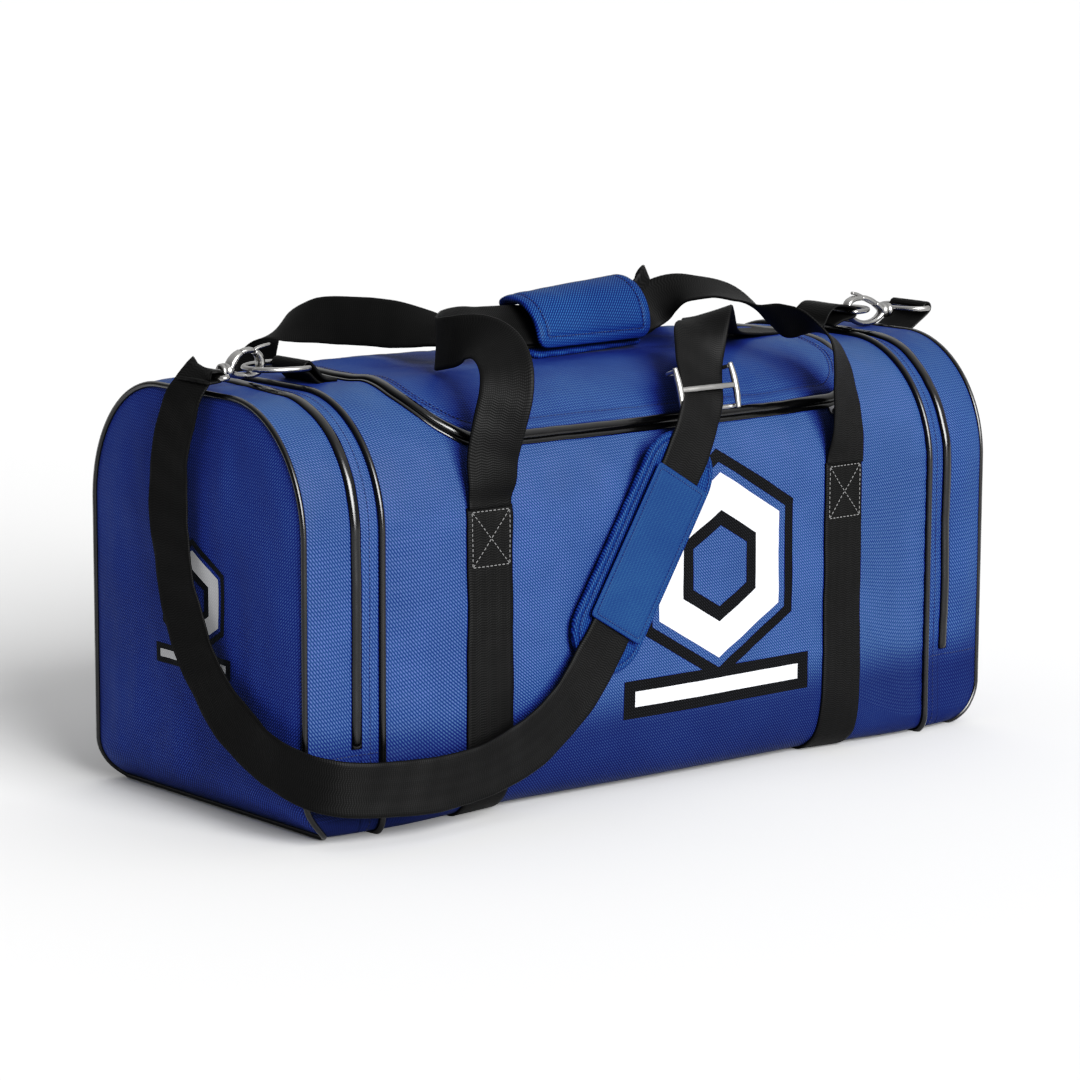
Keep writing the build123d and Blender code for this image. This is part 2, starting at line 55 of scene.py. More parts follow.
AZIMUTH, ELEVATION, ROLL = math.radians(39.364), math.radians(9.868), math.radians(0.25)
look = Vector((math.sin(AZIMUTH) * math.cos(ELEVATION), math.cos(AZIMUTH) * math.cos(ELEVATION),
               -math.sin(ELEVATION)))
level = Vector((math.cos(AZIMUTH), -math.sin(AZIMUTH), 0))
rise = level.cross(look)
across = math.cos(ROLL) * level + math.sin(ROLL) * rise
upward = -math.sin(ROLL) * level + math.cos(ROLL) * rise
camera_data = bpy.data.cameras.new("camera")
camera_data.lens = 133.05
camera_data.sensor_width = 36
camera_data.clip_end = 50
camera = bpy.data.objects.new("camera", camera_data)
scene.collection.objects.link(camera)
camera.matrix_world = Matrix((
    (across.x, upward.x, -look.x, -1.8164),
    (across.y, upward.y, -look.y, -2.1992),
    (across.z, upward.z, -look.z, 0.6515),
    (0, 0, 0, 1)))
scene.camera = camera

# ---------------------------------------------------------------- materials


class Nodes:
    """Short calls for a material's node tree."""

    def __init__(self, name):
        self.material = bpy.data.materials.new(name)
        self.material.use_nodes = True
        self.tree = self.material.node_tree
        self.bsdf = self.tree.nodes["Principled BSDF"]

    def put(self, socket, value):
        if isinstance(value, bpy.types.NodeSocket):
            self.tree.links.new(value, socket)
        else:
            socket.default_value = value

    def math(self, operation, *values, clamp=False):
        node = self.tree.nodes.new("ShaderNodeMath")
        node.operation = operation
        node.use_clamp = clamp
        for socket, value in zip(node.inputs, values):
            self.put(socket, value)
        return node.outputs[0]

    def coords(self, kind="UV"):
        node = self.tree.nodes.new("ShaderNodeTexCoord")
        split = self.tree.nodes.new("ShaderNodeSeparateXYZ")
        self.tree.links.new(node.outputs[kind], split.inputs[0])
        return node.outputs[kind], split.outputs

    def noise(self, vector, scale, detail=3.0, rough=0.55):
        node = self.tree.nodes.new("ShaderNodeTexNoise")
        self.tree.links.new(vector, node.inputs["Vector"])
        node.inputs["Scale"].default_value = scale
        node.inputs["Detail"].default_value = detail
        node.inputs["Roughness"].default_value = rough
        return node.outputs["Fac"]

    def ramp(self, value, low, high, to_low=0.0, to_high=1.0):
        node = self.tree.nodes.new("ShaderNodeMapRange")
        node.interpolation_type = "SMOOTHSTEP"
        self.put(node.inputs["Value"], value)
        for name, number in (("From Min", low), ("From Max", high), ("To Min", to_low), ("To Max", to_high)):
            self.put(node.inputs[name], number)
        return node.outputs["Result"]

    def mix(self, share, low, high):
        node = self.tree.nodes.new("ShaderNodeMix")
        node.data_type = "RGBA"
        self.put(node.inputs["Factor"], share)
        for socket, value in ((node.inputs["A"], low), (node.inputs["B"], high)):
            self.put(socket, value if isinstance(value, bpy.types.NodeSocket) else (*value, 1.0))
        return node.outputs["Result"]

    def shaded(self, colour, value):
        node = self.tree.nodes.new("ShaderNodeHueSaturation")
        self.tree.links.new(value, node.inputs["Value"])
        self.tree.links.new(colour, node.inputs["Color"])
        return node.outputs[0]

    def bump(self, height, distance, strength=1.0, under=None):
        node = self.tree.nodes.new("ShaderNodeBump")
        node.inputs["Strength"].default_value = strength
        node.inputs["Distance"].default_value = distance
        self.put(node.inputs["Height"], height)
        if under is not None:
            self.tree.links.new(under, node.inputs["Normal"])
        return node.outputs["Normal"]

    def finish(self, colour=None, rough=None, normal=None, **fixed):
        for name, value in (("Base Color", colour), ("Roughness", rough), ("Normal", normal)):
            if value is not None:
                if name == "Base Color" and not isinstance(value, bpy.types.NodeSocket):
                    value = (*value, 1.0)
                self.put(self.bsdf.inputs[name], value)
        for name, value in fixed.items():
            self.bsdf.inputs[name.replace("_", " ")].default_value = value
        return self.material


def lin(r, g, b):
    """An sRGB colour in 0-255 as linear."""
    return tuple((c / 255 / 12.92) if c <= 10 else ((c / 255 + 0.055) / 1.055) ** 2.4 for c in (r, g, b))


def fabric(name, dark, light, gap=1.6, dash=3.0, depth=0.15, sheen=0.0, wear=0.1, rough=0.52, low_shade=1.0):
    """Coarse polyester: rows of short dashes that run down to the right. UVs are in millimetres."""
    n = Nodes(name)
    vector, (u, v, _) = n.coords()

    def humps(value):
        """One rounded hump for each whole step of value."""
        centred = n.math("SUBTRACT", n.math("FRACT", value), 0.5)
        return n.math("MULTIPLY_ADD", n.math("COSINE", n.math("MULTIPLY", centred, TAU)), 0.5, 0.5)

    over = n.math("MULTIPLY", n.math("ADD", u, v), DIAGONAL / gap)
    along = n.math("MULTIPLY", n.math("SUBTRACT", u, v), DIAGONAL / dash)
    row = n.math("FLOOR", over)
    shift = n.math("MULTIPLY_ADD", row, 0.5, along)
    ridge = n.math("POWER", humps(over), 1.1)
    bead = n.math("MULTIPLY_ADD", n.math("POWER", humps(shift), 0.45), 0.8, 0.2)
    thread = n.math("MULTIPLY", ridge, bead)
    fine = n.noise(vector, 0.9, 3.0)
    broad = n.noise(vector, 0.012, 4.0)
    share = n.math("ADD", thread, n.math("MULTIPLY", n.math("SUBTRACT", fine, 0.5), 0.5), clamp=True)
    colour = n.mix(share, dark, light)
    shade = n.ramp(broad, 0.3, 0.7, 1 - wear, 1 + wear)
    # Painted shade: below about 80 mm the cloth's colour is multiplied down by low_shade, standing in for
    # the shade near the ground.
    if low_shade < 1:          # darker towards the ground
        _, spot = n.coords("Object")
        foot_shade = n.ramp(spot[2], 0.045, 0.082, low_shade, 1.0)
        shade = n.math("MULTIPLY", shade, foot_shade)
    normal = n.bump(thread, depth * MM, 1.0)
    return n.finish(n.shaded(colour, shade), n.math("MULTIPLY_ADD", fine, 0.12, rough - 0.06), normal,
                    Specular_IOR_Level=0.08, Sheen_Weight=sheen, Sheen_Roughness=0.4,
                    Sheen_Tint=(0.6, 0.78, 1.0, 1.0))


def webbing(name, dark, light, rib=1.7):
    """Woven webbing: slanted ribs across it and fine picks between. V runs along it, in millimetres."""
    n = Nodes(name)
    vector, (u, v, _) = n.coords()
    chevron = n.math("MULTIPLY", n.math("PINGPONG", u, 4.2), 0.28)
    turn = n.math("MULTIPLY", n.math("ADD", v, chevron), TAU / rib)
    ribs = n.math("MULTIPLY_ADD", n.math("SINE", turn), 0.5, 0.5)
    picks = n.math("MULTIPLY_ADD", n.math("SINE", n.math("MULTIPLY", u, TAU / 1.35)), 0.5, 0.5)
    weave = n.math("MULTIPLY", n.math("POWER", ribs, 0.8), n.math("MULTIPLY_ADD", picks, 0.45, 0.55))
    fine = n.noise(vector, 1.3, 2.0)
    broad = n.noise(vector, 0.035, 3.0)
    share = n.math("ADD", weave, n.math("MULTIPLY", n.math("SUBTRACT", fine, 0.5), 0.45), clamp=True)
    colour = n.mix(share, dark, light)
    shade = n.ramp(broad, 0.3, 0.7, 0.9, 1.12)
    normal = n.bump(weave, 0.14 * MM, 1.0)
    return n.finish(n.shaded(colour, shade), 0.58, normal, Specular_IOR_Level=0.16, Sheen_Weight=0.0,
                    Sheen_Roughness=0.5)


def glossy(name, tint, rough, grain):
    """Smooth coated material with a slight grain, for piping, welts and coil."""
    n = Nodes(name)
    vector, _ = n.coords("Object")
    fine = n.noise(vector, 900.0, 2.0)
    broad = n.noise(vector, 26.0, 3.0)
    colour = n.mix(n.ramp(broad, 0.3, 0.7), tuple(c * 0.8 for c in tint), tuple(c * 1.25 for c in tint))
    normal = n.bump(fine, grain * MM, 0.6)
    return n.finish(colour, n.math("MULTIPLY_ADD", broad, 0.12, rough - 0.06), normal,
                    Specular_IOR_Level=0.6)


def metal(name, tint, rough):
    """Plated cast metal: faint casting unevenness and a few rubbed places."""
    n = Nodes(name)
    vector, _ = n.coords("Object")
    broad = n.noise(vector, 55.0, 3.0)
    fine = n.noise(vector, 700.0, 2.0)
    colour = n.mix(broad, tuple(c * 0.82 for c in tint), tuple(min(1, c * 1.1) for c in tint))
    rub = n.ramp(broad, 0.35, 0.7, rough, rough + 0.14)
    normal = n.bump(fine, 0.03 * MM, 0.35, n.bump(broad, 0.5 * MM, 0.25))
    return n.finish(colour, rub, normal, Metallic=1.0)


def plain_cloth(name, dark, light, scale=1.0):
    """Close plain weave for lining and tape, in frame coordinates."""
    n = Nodes(name)
    vector, (x, y, z) = n.coords("Object")
    unit = 1000.0              # object coordinates are in metres
    a = n.math("SINE", n.math("MULTIPLY", n.math("ADD", x, y), unit * TAU / (0.9 * scale)))
    b = n.math("SINE", n.math("MULTIPLY", n.math("ADD", z, y), unit * TAU / (0.9 * scale)))
    weave = n.math("MULTIPLY_ADD", n.math("MULTIPLY", a, b), 0.5, 0.5)
    fine = n.noise(vector, 0.5 * unit, 2.0)
    colour = n.mix(n.math("MULTIPLY", weave, fine), dark, light)
    return n.finish(colour, 0.75, n.bump(weave, 0.08 * MM, 0.8), Specular_IOR_Level=0.25, Sheen_Weight=0.2)


BLUE_DARK, BLUE_LIGHT = (0.0075, 0.0175, 0.088), (0.052, 0.086, 0.25)
# The shell cloth carries painted shade near the ground; the end panels use the same cloth without it.
shell = fabric("shell_weave", BLUE_DARK, BLUE_LIGHT, low_shade=0.4)
end_shell = fabric("end_weave", BLUE_DARK, BLUE_LIGHT)
# Painted shade: the lid and the right gussets use a slightly darker copy of the cloth, standing in for the
# weaker light on the top and the right side.
lid_shaded_shell = fabric("lid_weave_painted_shade", (0.006, 0.0145, 0.078), (0.041, 0.071, 0.222), low_shade=0.4)
pad_shell = fabric("pad_weave", (0.0025, 0.0085, 0.045), (0.021, 0.058, 0.215), gap=1.6, dash=2.6,
                   depth=0.14)
print_dark = fabric("print_charcoal", (0.0015, 0.0015, 0.0017), (0.013, 0.013, 0.0145), depth=0.1, sheen=0.1)
print_white = fabric("print_white", (0.40, 0.41, 0.43), (0.52, 0.52, 0.53), depth=0.06, sheen=0.0, wear=0.03)
sleeve_cloth = fabric("sleeve_weave", (0.006, 0.018, 0.078), (0.022, 0.052, 0.165), gap=1.2, dash=1.3,
                      depth=0.07, wear=0.06, rough=0.62)
strap_web = webbing("strap_webbing", (0.0018, 0.0018, 0.0018), (0.009, 0.009, 0.0089))
belt_web = webbing("belt_webbing", (0.0016, 0.0016, 0.0016), (0.0074, 0.0074, 0.0073), rib=1.6)
piping_black = glossy("piping_coated", (0.0016, 0.0016, 0.0018), 0.24, 0.02)
welt_black = glossy("welt_coated", (0.0014, 0.0014, 0.0016), 0.2, 0.012)
lining_cloth = plain_cloth("lining_cloth", lin(22, 24, 30), lin(58, 62, 72), scale=1.6)
board_grain = glossy("board_plastic", lin(40, 40, 42), 0.5, 0.2)
nickel = metal("hardware_nickel", (0.36, 0.355, 0.345), 0.22)
satin = metal("glide_satin_nickel", (0.36, 0.355, 0.345), 0.34)
gunmetal = metal("zip_metal", (0.2, 0.2, 0.21), 0.3)
thread_grey = plain_cloth("thread_grey", (0.10, 0.10, 0.10), (0.24, 0.24, 0.235))
thread_blue = plain_cloth("thread_blue", (0.003, 0.009, 0.05), (0.014, 0.036, 0.14))
thread_dark = plain_cloth("thread_dark", (0.0015, 0.0025, 0.012), (0.004, 0.008, 0.035))

# ---------------------------------------------------------------- mesh helpers


def build(name, points, faces, uvs, material=None):
    """A mesh object from points in millimetres. UVs are one pair for each point."""
    mesh = bpy.data.meshes.new(name)
    mesh.from_pydata((np.asarray(points, float) * MM).tolist(), [],
                     [tuple(int(i) for i in f) for f in faces])
    mesh.update()
    layer = mesh.uv_layers.new(name="UVMap")
    order = np.zeros(len(mesh.loops), np.int64)
    mesh.loops.foreach_get("vertex_index", order)
    layer.data.foreach_set("uv", np.asarray(uvs, np.float32)[order].ravel())
    mesh.polygons.foreach_set("use_smooth", np.full(len(mesh.polygons), True))
    made = bpy.data.objects.new(name, mesh)
    scene.collection.objects.link(made)
    if material is not None:
        mesh.materials.append(material)
    return made


def quads(rows, cols, wrap_rows=False, wrap_cols=False, skip=None):
    """Faces of a rows x cols grid of points."""
    r = np.arange(rows if wrap_rows else rows - 1)
    c = np.arange(cols if wrap_cols else cols - 1)
    rr, cc = np.meshgrid(r, c, indexing="ij")
    r1, c1 = (rr + 1) % rows, (cc + 1) % cols
    keep = np.ones(rr.shape, bool) if skip is None else ~skip(rr, cc)
    faces = np.stack([rr * cols + cc, rr * cols + c1, r1 * cols + c1, r1 * cols + cc], -1)
    return faces[keep].reshape(-1, 4)


def capped(rows, cols):
    """Faces of a closed tube of rows rings with its two ends filled."""
    faces = quads(rows, cols, wrap_cols=True).tolist()
    faces.append(list(range(cols))[::-1])
    faces.append([(rows - 1) * cols + i for i in range(cols)])
    return faces


def fan(rows, cols, flip=False):
    """Faces of rings round a centre: the whole first row is one point."""
    faces = []
    for f in quads(rows, cols, wrap_cols=True).tolist():
        f = list(dict.fromkeys(0 if i < cols else i for i in f))
        if len(f) > 2:
            faces.append(f[::-1] if flip else f)
    return faces


def join(name, parts, material):
    """One object from (points, faces, uvs) parts."""
    points, faces, uvs, at = [], [], [], 0
    for p, f, t in parts:
        points.append(p)
        faces += [tuple(np.asarray(q) + at) for q in f]
        uvs.append(t)
        at += len(p)
    return build(name, np.concatenate(points), faces, np.concatenate(uvs), material)


def solid(obj, depth):
    """Give an open sheet its thickness, inwards, and keep only the finished mesh."""
    thick = obj.modifiers.new("thick", "SOLIDIFY")
    thick.thickness = depth * MM
    thick.offset = -1
    return freeze(obj)


def freeze(obj):
    """Replace the modifiers with their result."""
    view = bpy.context.evaluated_depsgraph_get()
    mesh = bpy.data.meshes.new_from_object(obj.evaluated_get(view))
    obj.modifiers.clear()
    old = obj.data
    obj.data = mesh
    mesh.name = old.name
    bpy.data.meshes.remove(old)
    return obj


def ripple(p, size, seed):
    """Smooth repeatable unevenness between -1 and 1: a few crossed waves, bent by others."""
    draw = np.random.default_rng(seed)
    total = np.zeros(p.shape[:-1])
    bend = np.zeros(p.shape[:-1])
    for _ in range(3):
        k = draw.normal(size=3)
        k *= TAU / (size * 2.2) / np.linalg.norm(k)
        bend = bend + np.sin(p @ k + draw.uniform(0, TAU))
    for i in range(6):
        k = draw.normal(size=3)
        k *= TAU / (size * draw.uniform(0.6, 1.5)) / np.linalg.norm(k)
        total = total + np.sin(p @ k + draw.uniform(0, TAU) + 0.9 * bend) / 6
    return total * 1.6


@contextmanager
def mesh_edit(obj):
    """Change an object's mesh through bmesh."""
    bm = bmesh.new()
    bm.from_mesh(obj.data)
    yield bm
    bm.to_mesh(obj.data)
    bm.free()


def drop_loose(obj):
    """Remove points that no face uses."""
    with mesh_edit(obj) as bm:
        loose = [v for v in bm.verts if not v.link_faces]
        bmesh.ops.delete(bm, geom=loose, context="VERTS")


def face_outwards(obj, weld=None):
    """Point a closed piece's faces outwards, after joining points closer than weld."""
    with mesh_edit(obj) as bm:
        if weld is not None:
            bmesh.ops.remove_doubles(bm, verts=bm.verts, dist=weld * MM)
        bmesh.ops.recalc_face_normals(bm, faces=bm.faces)
    return obj


def spread(low, high, count):
    return np.linspace(low, high, count)


# ---------------------------------------------------------------- the bag's skin

SHELL_THICK = 1.6
TOP, ARC = 290.0, 88.0       # the top's height and the radius of its long edges
BASE_HALF = 134.0            # half the depth
UNDER_LIFT = 2.2             # how far the cloth is raised at the underside
END_X, ZIP_X, SEAM_X = 313.0, 273.0, 253.0
LID_X, LID_FRONT, LID_BACK, LID_ROUND = 202.0, -114.8, 100.0, 45.0
# Where each stretch of the half outline starts.
T_CORNER, T_SIDE, T_ARC, T_FLAT = 0.24, 0.42, 0.62, 0.86


def step(a, b, x):
    s = np.clip((x - a) / (b - a), 0, 1)
    return s * s * (3 - 2 * s)


def half_depth(x):
    return 123.5 + 13.5 * (1 - np.clip(np.abs(x) / END_X, 0, 1) ** 2)


def low_radii(x):
    """The lower edge's radii, across and up: soft in the middle, tight at the piped seams."""
    soft = 1 - step(120, SEAM_X, np.abs(x))
    return 9 + 17 * soft, 13 + 40 * soft


def outline(x, t):
    """The bag's outline at x: t is 0 at the bottom's middle, 1 at the top's and 2 at the bottom again."""
    x, t = np.broadcast_arrays(np.asarray(x, float), np.asarray(t, float))
    front = t <= 1
    q = np.where(front, t, 2 - t)
    ry, rz = low_radii(x)
    flat = BASE_HALF - ry
    s = np.clip(q / T_CORNER, 0, 1)
    y, z = flat * s, np.zeros_like(s)
    a = np.clip((q - T_CORNER) / (T_SIDE - T_CORNER), 0, 1) * math.pi / 2
    y, z = np.where(q > T_CORNER, flat + ry * np.sin(a), y), np.where(q > T_CORNER, rz * (1 - np.cos(a)), z)
    s = np.clip((q - T_SIDE) / (T_ARC - T_SIDE), 0, 1)
    y, z = np.where(q > T_SIDE, BASE_HALF, y), np.where(q > T_SIDE, rz + (TOP - ARC - rz) * s, z)
    a = np.clip((q - T_ARC) / (T_FLAT - T_ARC), 0, 1) * math.pi / 2
    arc_y, arc_z = BASE_HALF - ARC + ARC * np.cos(a), TOP - ARC + ARC * np.sin(a)
    y, z = np.where(q > T_ARC, arc_y, y), np.where(q > T_ARC, arc_z, z)
    s = np.clip((q - T_FLAT) / (1 - T_FLAT), 0, 1)
    y = np.where(q > T_FLAT, (BASE_HALF - ARC) * (1 - s), y)
    y = np.where(front, -y, y) * half_depth(x) / BASE_HALF
    return y, z + UNDER_LIFT * (1 - step(0, 34, z))


def tuck(z):
    """How far the end panel is pulled in near the ground."""
    return 23.0 * np.clip(1 - z / 32.0, 0, 1) ** 2


def base(x, t):
    y, z = outline(x, t)
    x = np.broadcast_to(np.asarray(x, float), y.shape)
    inward = np.clip((np.abs(x) - ZIP_X) / (END_X - ZIP_X), 0, 1)
    return np.stack([x - np.sign(x) * tuck(z) * inward, y, z], -1)


def plan_y(t):
    """Where t lies across the top, before the bulge."""
    t = np.asarray(t, float)
    q = np.where(t <= 1, t, 2 - t)
    a = np.clip((q - T_ARC) / (T_FLAT - T_ARC), 0, 1) * math.pi / 2
    y = np.where(q > T_FLAT, (BASE_HALF - ARC) * (1 - (q - T_FLAT) / (1 - T_FLAT)),
                 BASE_HALF - ARC + ARC * np.cos(a))
    return np.where(t <= 1, -y, y)


def t_at_plan(y):
    """The t of a line across the top at plan depth y."""
    y = np.asarray(y, float)
    size = np.abs(y)
    lean = np.arccos(np.clip((size - BASE_HALF + ARC) / ARC, -1, 1))
    on_arc = T_ARC + (T_FLAT - T_ARC) * lean / (math.pi / 2)
    flat = T_FLAT + (1 - T_FLAT) * (1 - size / (BASE_HALF - ARC))
    q = np.where(size > BASE_HALF - ARC, on_arc, flat)
    return np.where(y <= 0, q, 2 - q)


def t_at_height(x, z):
    """The t on the front at height z."""
    x, z = np.broadcast_arrays(np.asarray(x, float), np.asarray(z, float))
    _, rz = low_radii(x)
    low = T_CORNER + (T_SIDE - T_CORNER) * np.arccos(np.clip(1 - z / rz, -1, 1)) / (math.pi / 2)
    mid = T_SIDE + (T_ARC - T_SIDE) * (z - rz) / (TOP - ARC - rz)
    high = T_ARC + (T_FLAT - T_ARC) * np.arcsin(np.clip((z - TOP + ARC) / ARC, -1, 1)) / (math.pi / 2)
    return np.where(z < rz, low, np.where(z <= TOP - ARC, mid, high))


def lid_reach(y):
    """Half the lid's length at plan depth y."""
    turn = np.clip(LID_FRONT + LID_ROUND - y, 0, LID_ROUND)
    return LID_X - LID_ROUND + np.sqrt(LID_ROUND ** 2 - turn ** 2)


def lid_depth(x, y):
    """Distance inside the lid's edge, negative outside."""
    x = np.abs(x)
    cx, cy = x - (LID_X - LID_ROUND), (LID_FRONT + LID_ROUND) - y
    square = np.minimum(np.minimum(LID_X - x, y - LID_FRONT), LID_BACK - y)
    corner = LID_ROUND - np.hypot(np.maximum(cx, 0), np.maximum(cy, 0))
    return np.where((cx > 0) & (cy > 0), corner, square)


def swell(x, p):
    """How far the cloth stands out from the plain outline: pillowed between seams, with soft folds."""
    ax = np.abs(x)
    d_in = np.abs(ax - SEAM_X)
    puff = np.where(ax < SEAM_X, 2.4 * (1 - np.exp(-d_in / 13)), 0)
    puff = np.where((ax >= SEAM_X) & (ax < ZIP_X),
                    0.7 * np.sin(np.clip((ax - SEAM_X) / (ZIP_X - SEAM_X), 0, 1) * math.pi), puff)
    puff = np.where(ax >= ZIP_X,
                    1.8 * np.sin(np.clip((ax - ZIP_X) / (END_X - ZIP_X), 0, 1) * math.pi) ** 0.7, puff)
    away = np.clip(np.minimum(d_in, np.abs(ax - END_X)) / 16, 0, 1)
    high = step(8, 70, p[..., 2])
    folds = 1.5 * ripple(p, 120, 3) + 0.5 * ripple(p * (1, 1, 0.5), 44, 8) + 0.22 * ripple(p, 18, 5)
    side = (1 - step(200, 262, p[..., 2])) * np.exp(-(d_in / 30) ** 2) * np.where(ax < SEAM_X, 1, 0)
    pucker = 0.35 * side * np.sin(p[..., 2] * TAU / 17 + 2 * np.sin(p[..., 2] / 37))
    return (puff + away * (0.25 + 0.75 * high) * folds + pucker) * step(0, 16, p[..., 2])


def skin(x, t, off=0.0, puffed=True, extra=None):
    """Points on the bag's skin and their outward normals."""
    x, t = np.broadcast_arrays(np.asarray(x, float), np.asarray(t, float))
    e = 1e-3
    p = base(x, t)
    dx = base(x + 0.5, t) - base(x - 0.5, t)
    dt = base(x, t + e) - base(x, t - e)
    n = np.cross(dx, dt)
    n /= np.maximum(np.linalg.norm(n, axis=-1, keepdims=True), 1e-9)
    out = np.asarray(off, float) + (swell(x, p) if puffed else 0.0)
    if extra is not None:
        out = out + extra
    return p + n * np.broadcast_to(out, x.shape)[..., None], n


def arc_length(points):
    gap = np.linalg.norm(np.diff(points, axis=0), axis=-1)
    return np.concatenate([[0], np.cumsum(gap)])


RING_T = np.unique(np.concatenate([
    spread(0, T_CORNER, 14), spread(T_CORNER, T_SIDE, 16), spread(T_SIDE, T_ARC, 44),
    spread(T_ARC, T_FLAT, 40), spread(T_FLAT, 1, 14)]).round(7))


def with_lid_rows(ts):
    """The half outline's rows, with rows exactly on the lid's edges and close together round its corners."""
    corner = LID_FRONT + LID_ROUND - LID_ROUND * np.sin(spread(0, math.pi / 2, 20))
    lid_rows = t_at_plan(np.concatenate([corner, spread(LID_FRONT + LID_ROUND, 0, 24)[1:]]))
    below = ts[ts < lid_rows.min() - 0.002]
    front_rows = np.concatenate([below, np.sort(lid_rows)])
    back = 2 - ts[(ts > 0)][::-1]
    back = np.sort(back)
    back = back[back > 1.0]
    line = float(t_at_plan(LID_BACK))
    back = np.concatenate([back[np.abs(back - line) > 0.003], [line]])
    return np.concatenate([front_rows, np.sort(back[back < 2.0])])


ROWS = with_lid_rows(RING_T)
LID_T0, LID_T1 = float(t_at_plan(LID_FRONT)), float(t_at_plan(LID_BACK))
V_OF_T = arc_length(base(np.zeros_like(ROWS), ROWS))


def v_at(t):
    return np.interp(t, ROWS, V_OF_T)


def make_body():
    """Front, bottom, back and the strips beside the lid, in one skin with the lid's opening cut out."""
    reach = lid_reach(np.where((ROWS >= LID_T0 - 1e-6), plan_y(ROWS), LID_FRONT))
    reach = np.where(ROWS > LID_T1 + 1e-6, LID_X, np.where(ROWS < LID_T0 + 1e-6, LID_X - LID_ROUND, reach))
    edge = spread(0, 1, 26)
    grid = []
    for r in reach:
        left = -SEAM_X + (SEAM_X - r) * edge
        grid.append(np.concatenate([left, spread(-r, r, 103)[1:-1], -left[::-1]]))
    x = np.array(grid)
    t = np.repeat(ROWS[:, None], x.shape[1], 1)
    gap = np.clip(-lid_depth(x, plan_y(t)), 0, 60)
    on_top = (t > LID_T0 - 0.03) & (t < LID_T1 + 0.05)
    dip = np.where(on_top, -1.2 * np.exp(-gap / 6), 0)
    p, _ = skin(x, t, extra=dip)
    uv = np.stack([x, v_at(t)], -1)
    n_left = len(edge)
    first = int(np.argmin(np.abs(ROWS - LID_T0)))
    last = int(np.argmin(np.abs(ROWS - LID_T1)))
    cols = x.shape[1]

    def hole(r, c):
        return (r >= first) & (r < last) & (c >= n_left - 1) & (c < cols - n_left)

    faces = quads(len(ROWS), cols, wrap_rows=True, skip=hole)
    made = build("main_panel", p.reshape(-1, 3), faces, uv.reshape(-1, 2), shell)
    return solid(made, SHELL_THICK)


def make_lid():
    corner = LID_FRONT + LID_ROUND - LID_ROUND * np.sin(spread(0, math.pi / 2, 26))
    y = np.concatenate([corner[::-1], spread(LID_FRONT + LID_ROUND, LID_BACK, 54)[1:]])
    t = t_at_plan(y)
    share = np.sin(spread(-math.pi / 2, math.pi / 2, 121))
    share = 0.55 * share + 0.45 * spread(-1, 1, 121)
    x = (lid_reach(y) - 0.8)[:, None] * share[None, :]
    t = np.repeat(t[:, None], x.shape[1], 1)
    depth = np.clip(lid_depth(x, np.repeat(y[:, None], x.shape[1], 1)), 0, 200)
    lip = 0
    for high, at, wide in ((1.6, 3.5, 3.2), (-0.9, 8.3, 1.2), (-0.5, 11.2, 1.0)):
        lip = lip + high * np.exp(-((depth - at) / wide) ** 2)
    puff = 1.4 * (1 - np.exp(-depth / 26)) - 1.5 * np.exp(-depth / 1.2)
    p, _ = skin(x, t, 0.6, extra=lip + puff)
    uv = np.stack([x, v_at(t)], -1)
    made = build("lid_panel", p.reshape(-1, 3), quads(*x.shape), uv.reshape(-1, 2), lid_shaded_shell)
    return solid(made, 1.5)


def make_gusset(name, side, x0, x1, count, material):
    x, t = np.meshgrid(spread(x0, x1, count) * side, ROWS)
    p, _ = skin(x, t)
    uv = np.stack([np.abs(x) if side > 0 else x, v_at(t)], -1)
    faces = quads(*x.shape, wrap_rows=True)
    made = build(name, p.reshape(-1, 3), faces if side > 0 else faces[:, ::-1], uv.reshape(-1, 2), material)
    return solid(made, SHELL_THICK)


END_CENTRE = 148.0           # height of the end panel's middle


def end_surface(side, y, z, off=0.0):
    """The end panel's face over (y, z), softly crowned inside its piping."""
    rim_y, rim_z = outline(np.full(ROWS.shape, END_X), ROWS)
    angle = np.arctan2(rim_z - END_CENTRE, rim_y)
    order = np.argsort(angle)
    reach = np.interp(np.arctan2(z - END_CENTRE, y), angle[order],
                      np.hypot(rim_y, rim_z - END_CENTRE)[order], period=TAU)
    share = np.clip(np.hypot(y, z - END_CENTRE) / reach, 0, 1)
    inside = (1 - share) * 110
    p = np.stack([side * (END_X - tuck(z)), y, z], -1)
    out = 5.5 * (1 - np.exp(-inside / 26)) - 1.2 * np.exp(-inside / 5)
    out = out + (1.2 * ripple(p * (0.2, 1, 1), 95, 14) + 0.5
                 * ripple(p * (0.2, 1.6, 0.6), 40, 17)) * np.clip(inside / 22, 0, 1)
    p[..., 0] += side * (out + off)
    return p


def make_end(name, side):
    """The end panel: rings from its centre to its outline."""
    rings = 1 - (1 - spread(0, 1, 34)) ** 1.3
    edge, _ = skin(np.full(ROWS.shape, side * END_X), ROWS, -0.6, puffed=False)
    r = rings[:, None]
    y = edge[None, :, 1] * r
    z = END_CENTRE + (edge[None, :, 2] - END_CENTRE) * r
    p = end_surface(side, y, z)
    uv = np.stack([-side * p[..., 1], p[..., 2]], -1)
    made = build(name, p.reshape(-1, 3), fan(*y.shape, side < 0), uv.reshape(-1, 2), end_shell)
    drop_loose(made)
    return solid(made, SHELL_THICK)


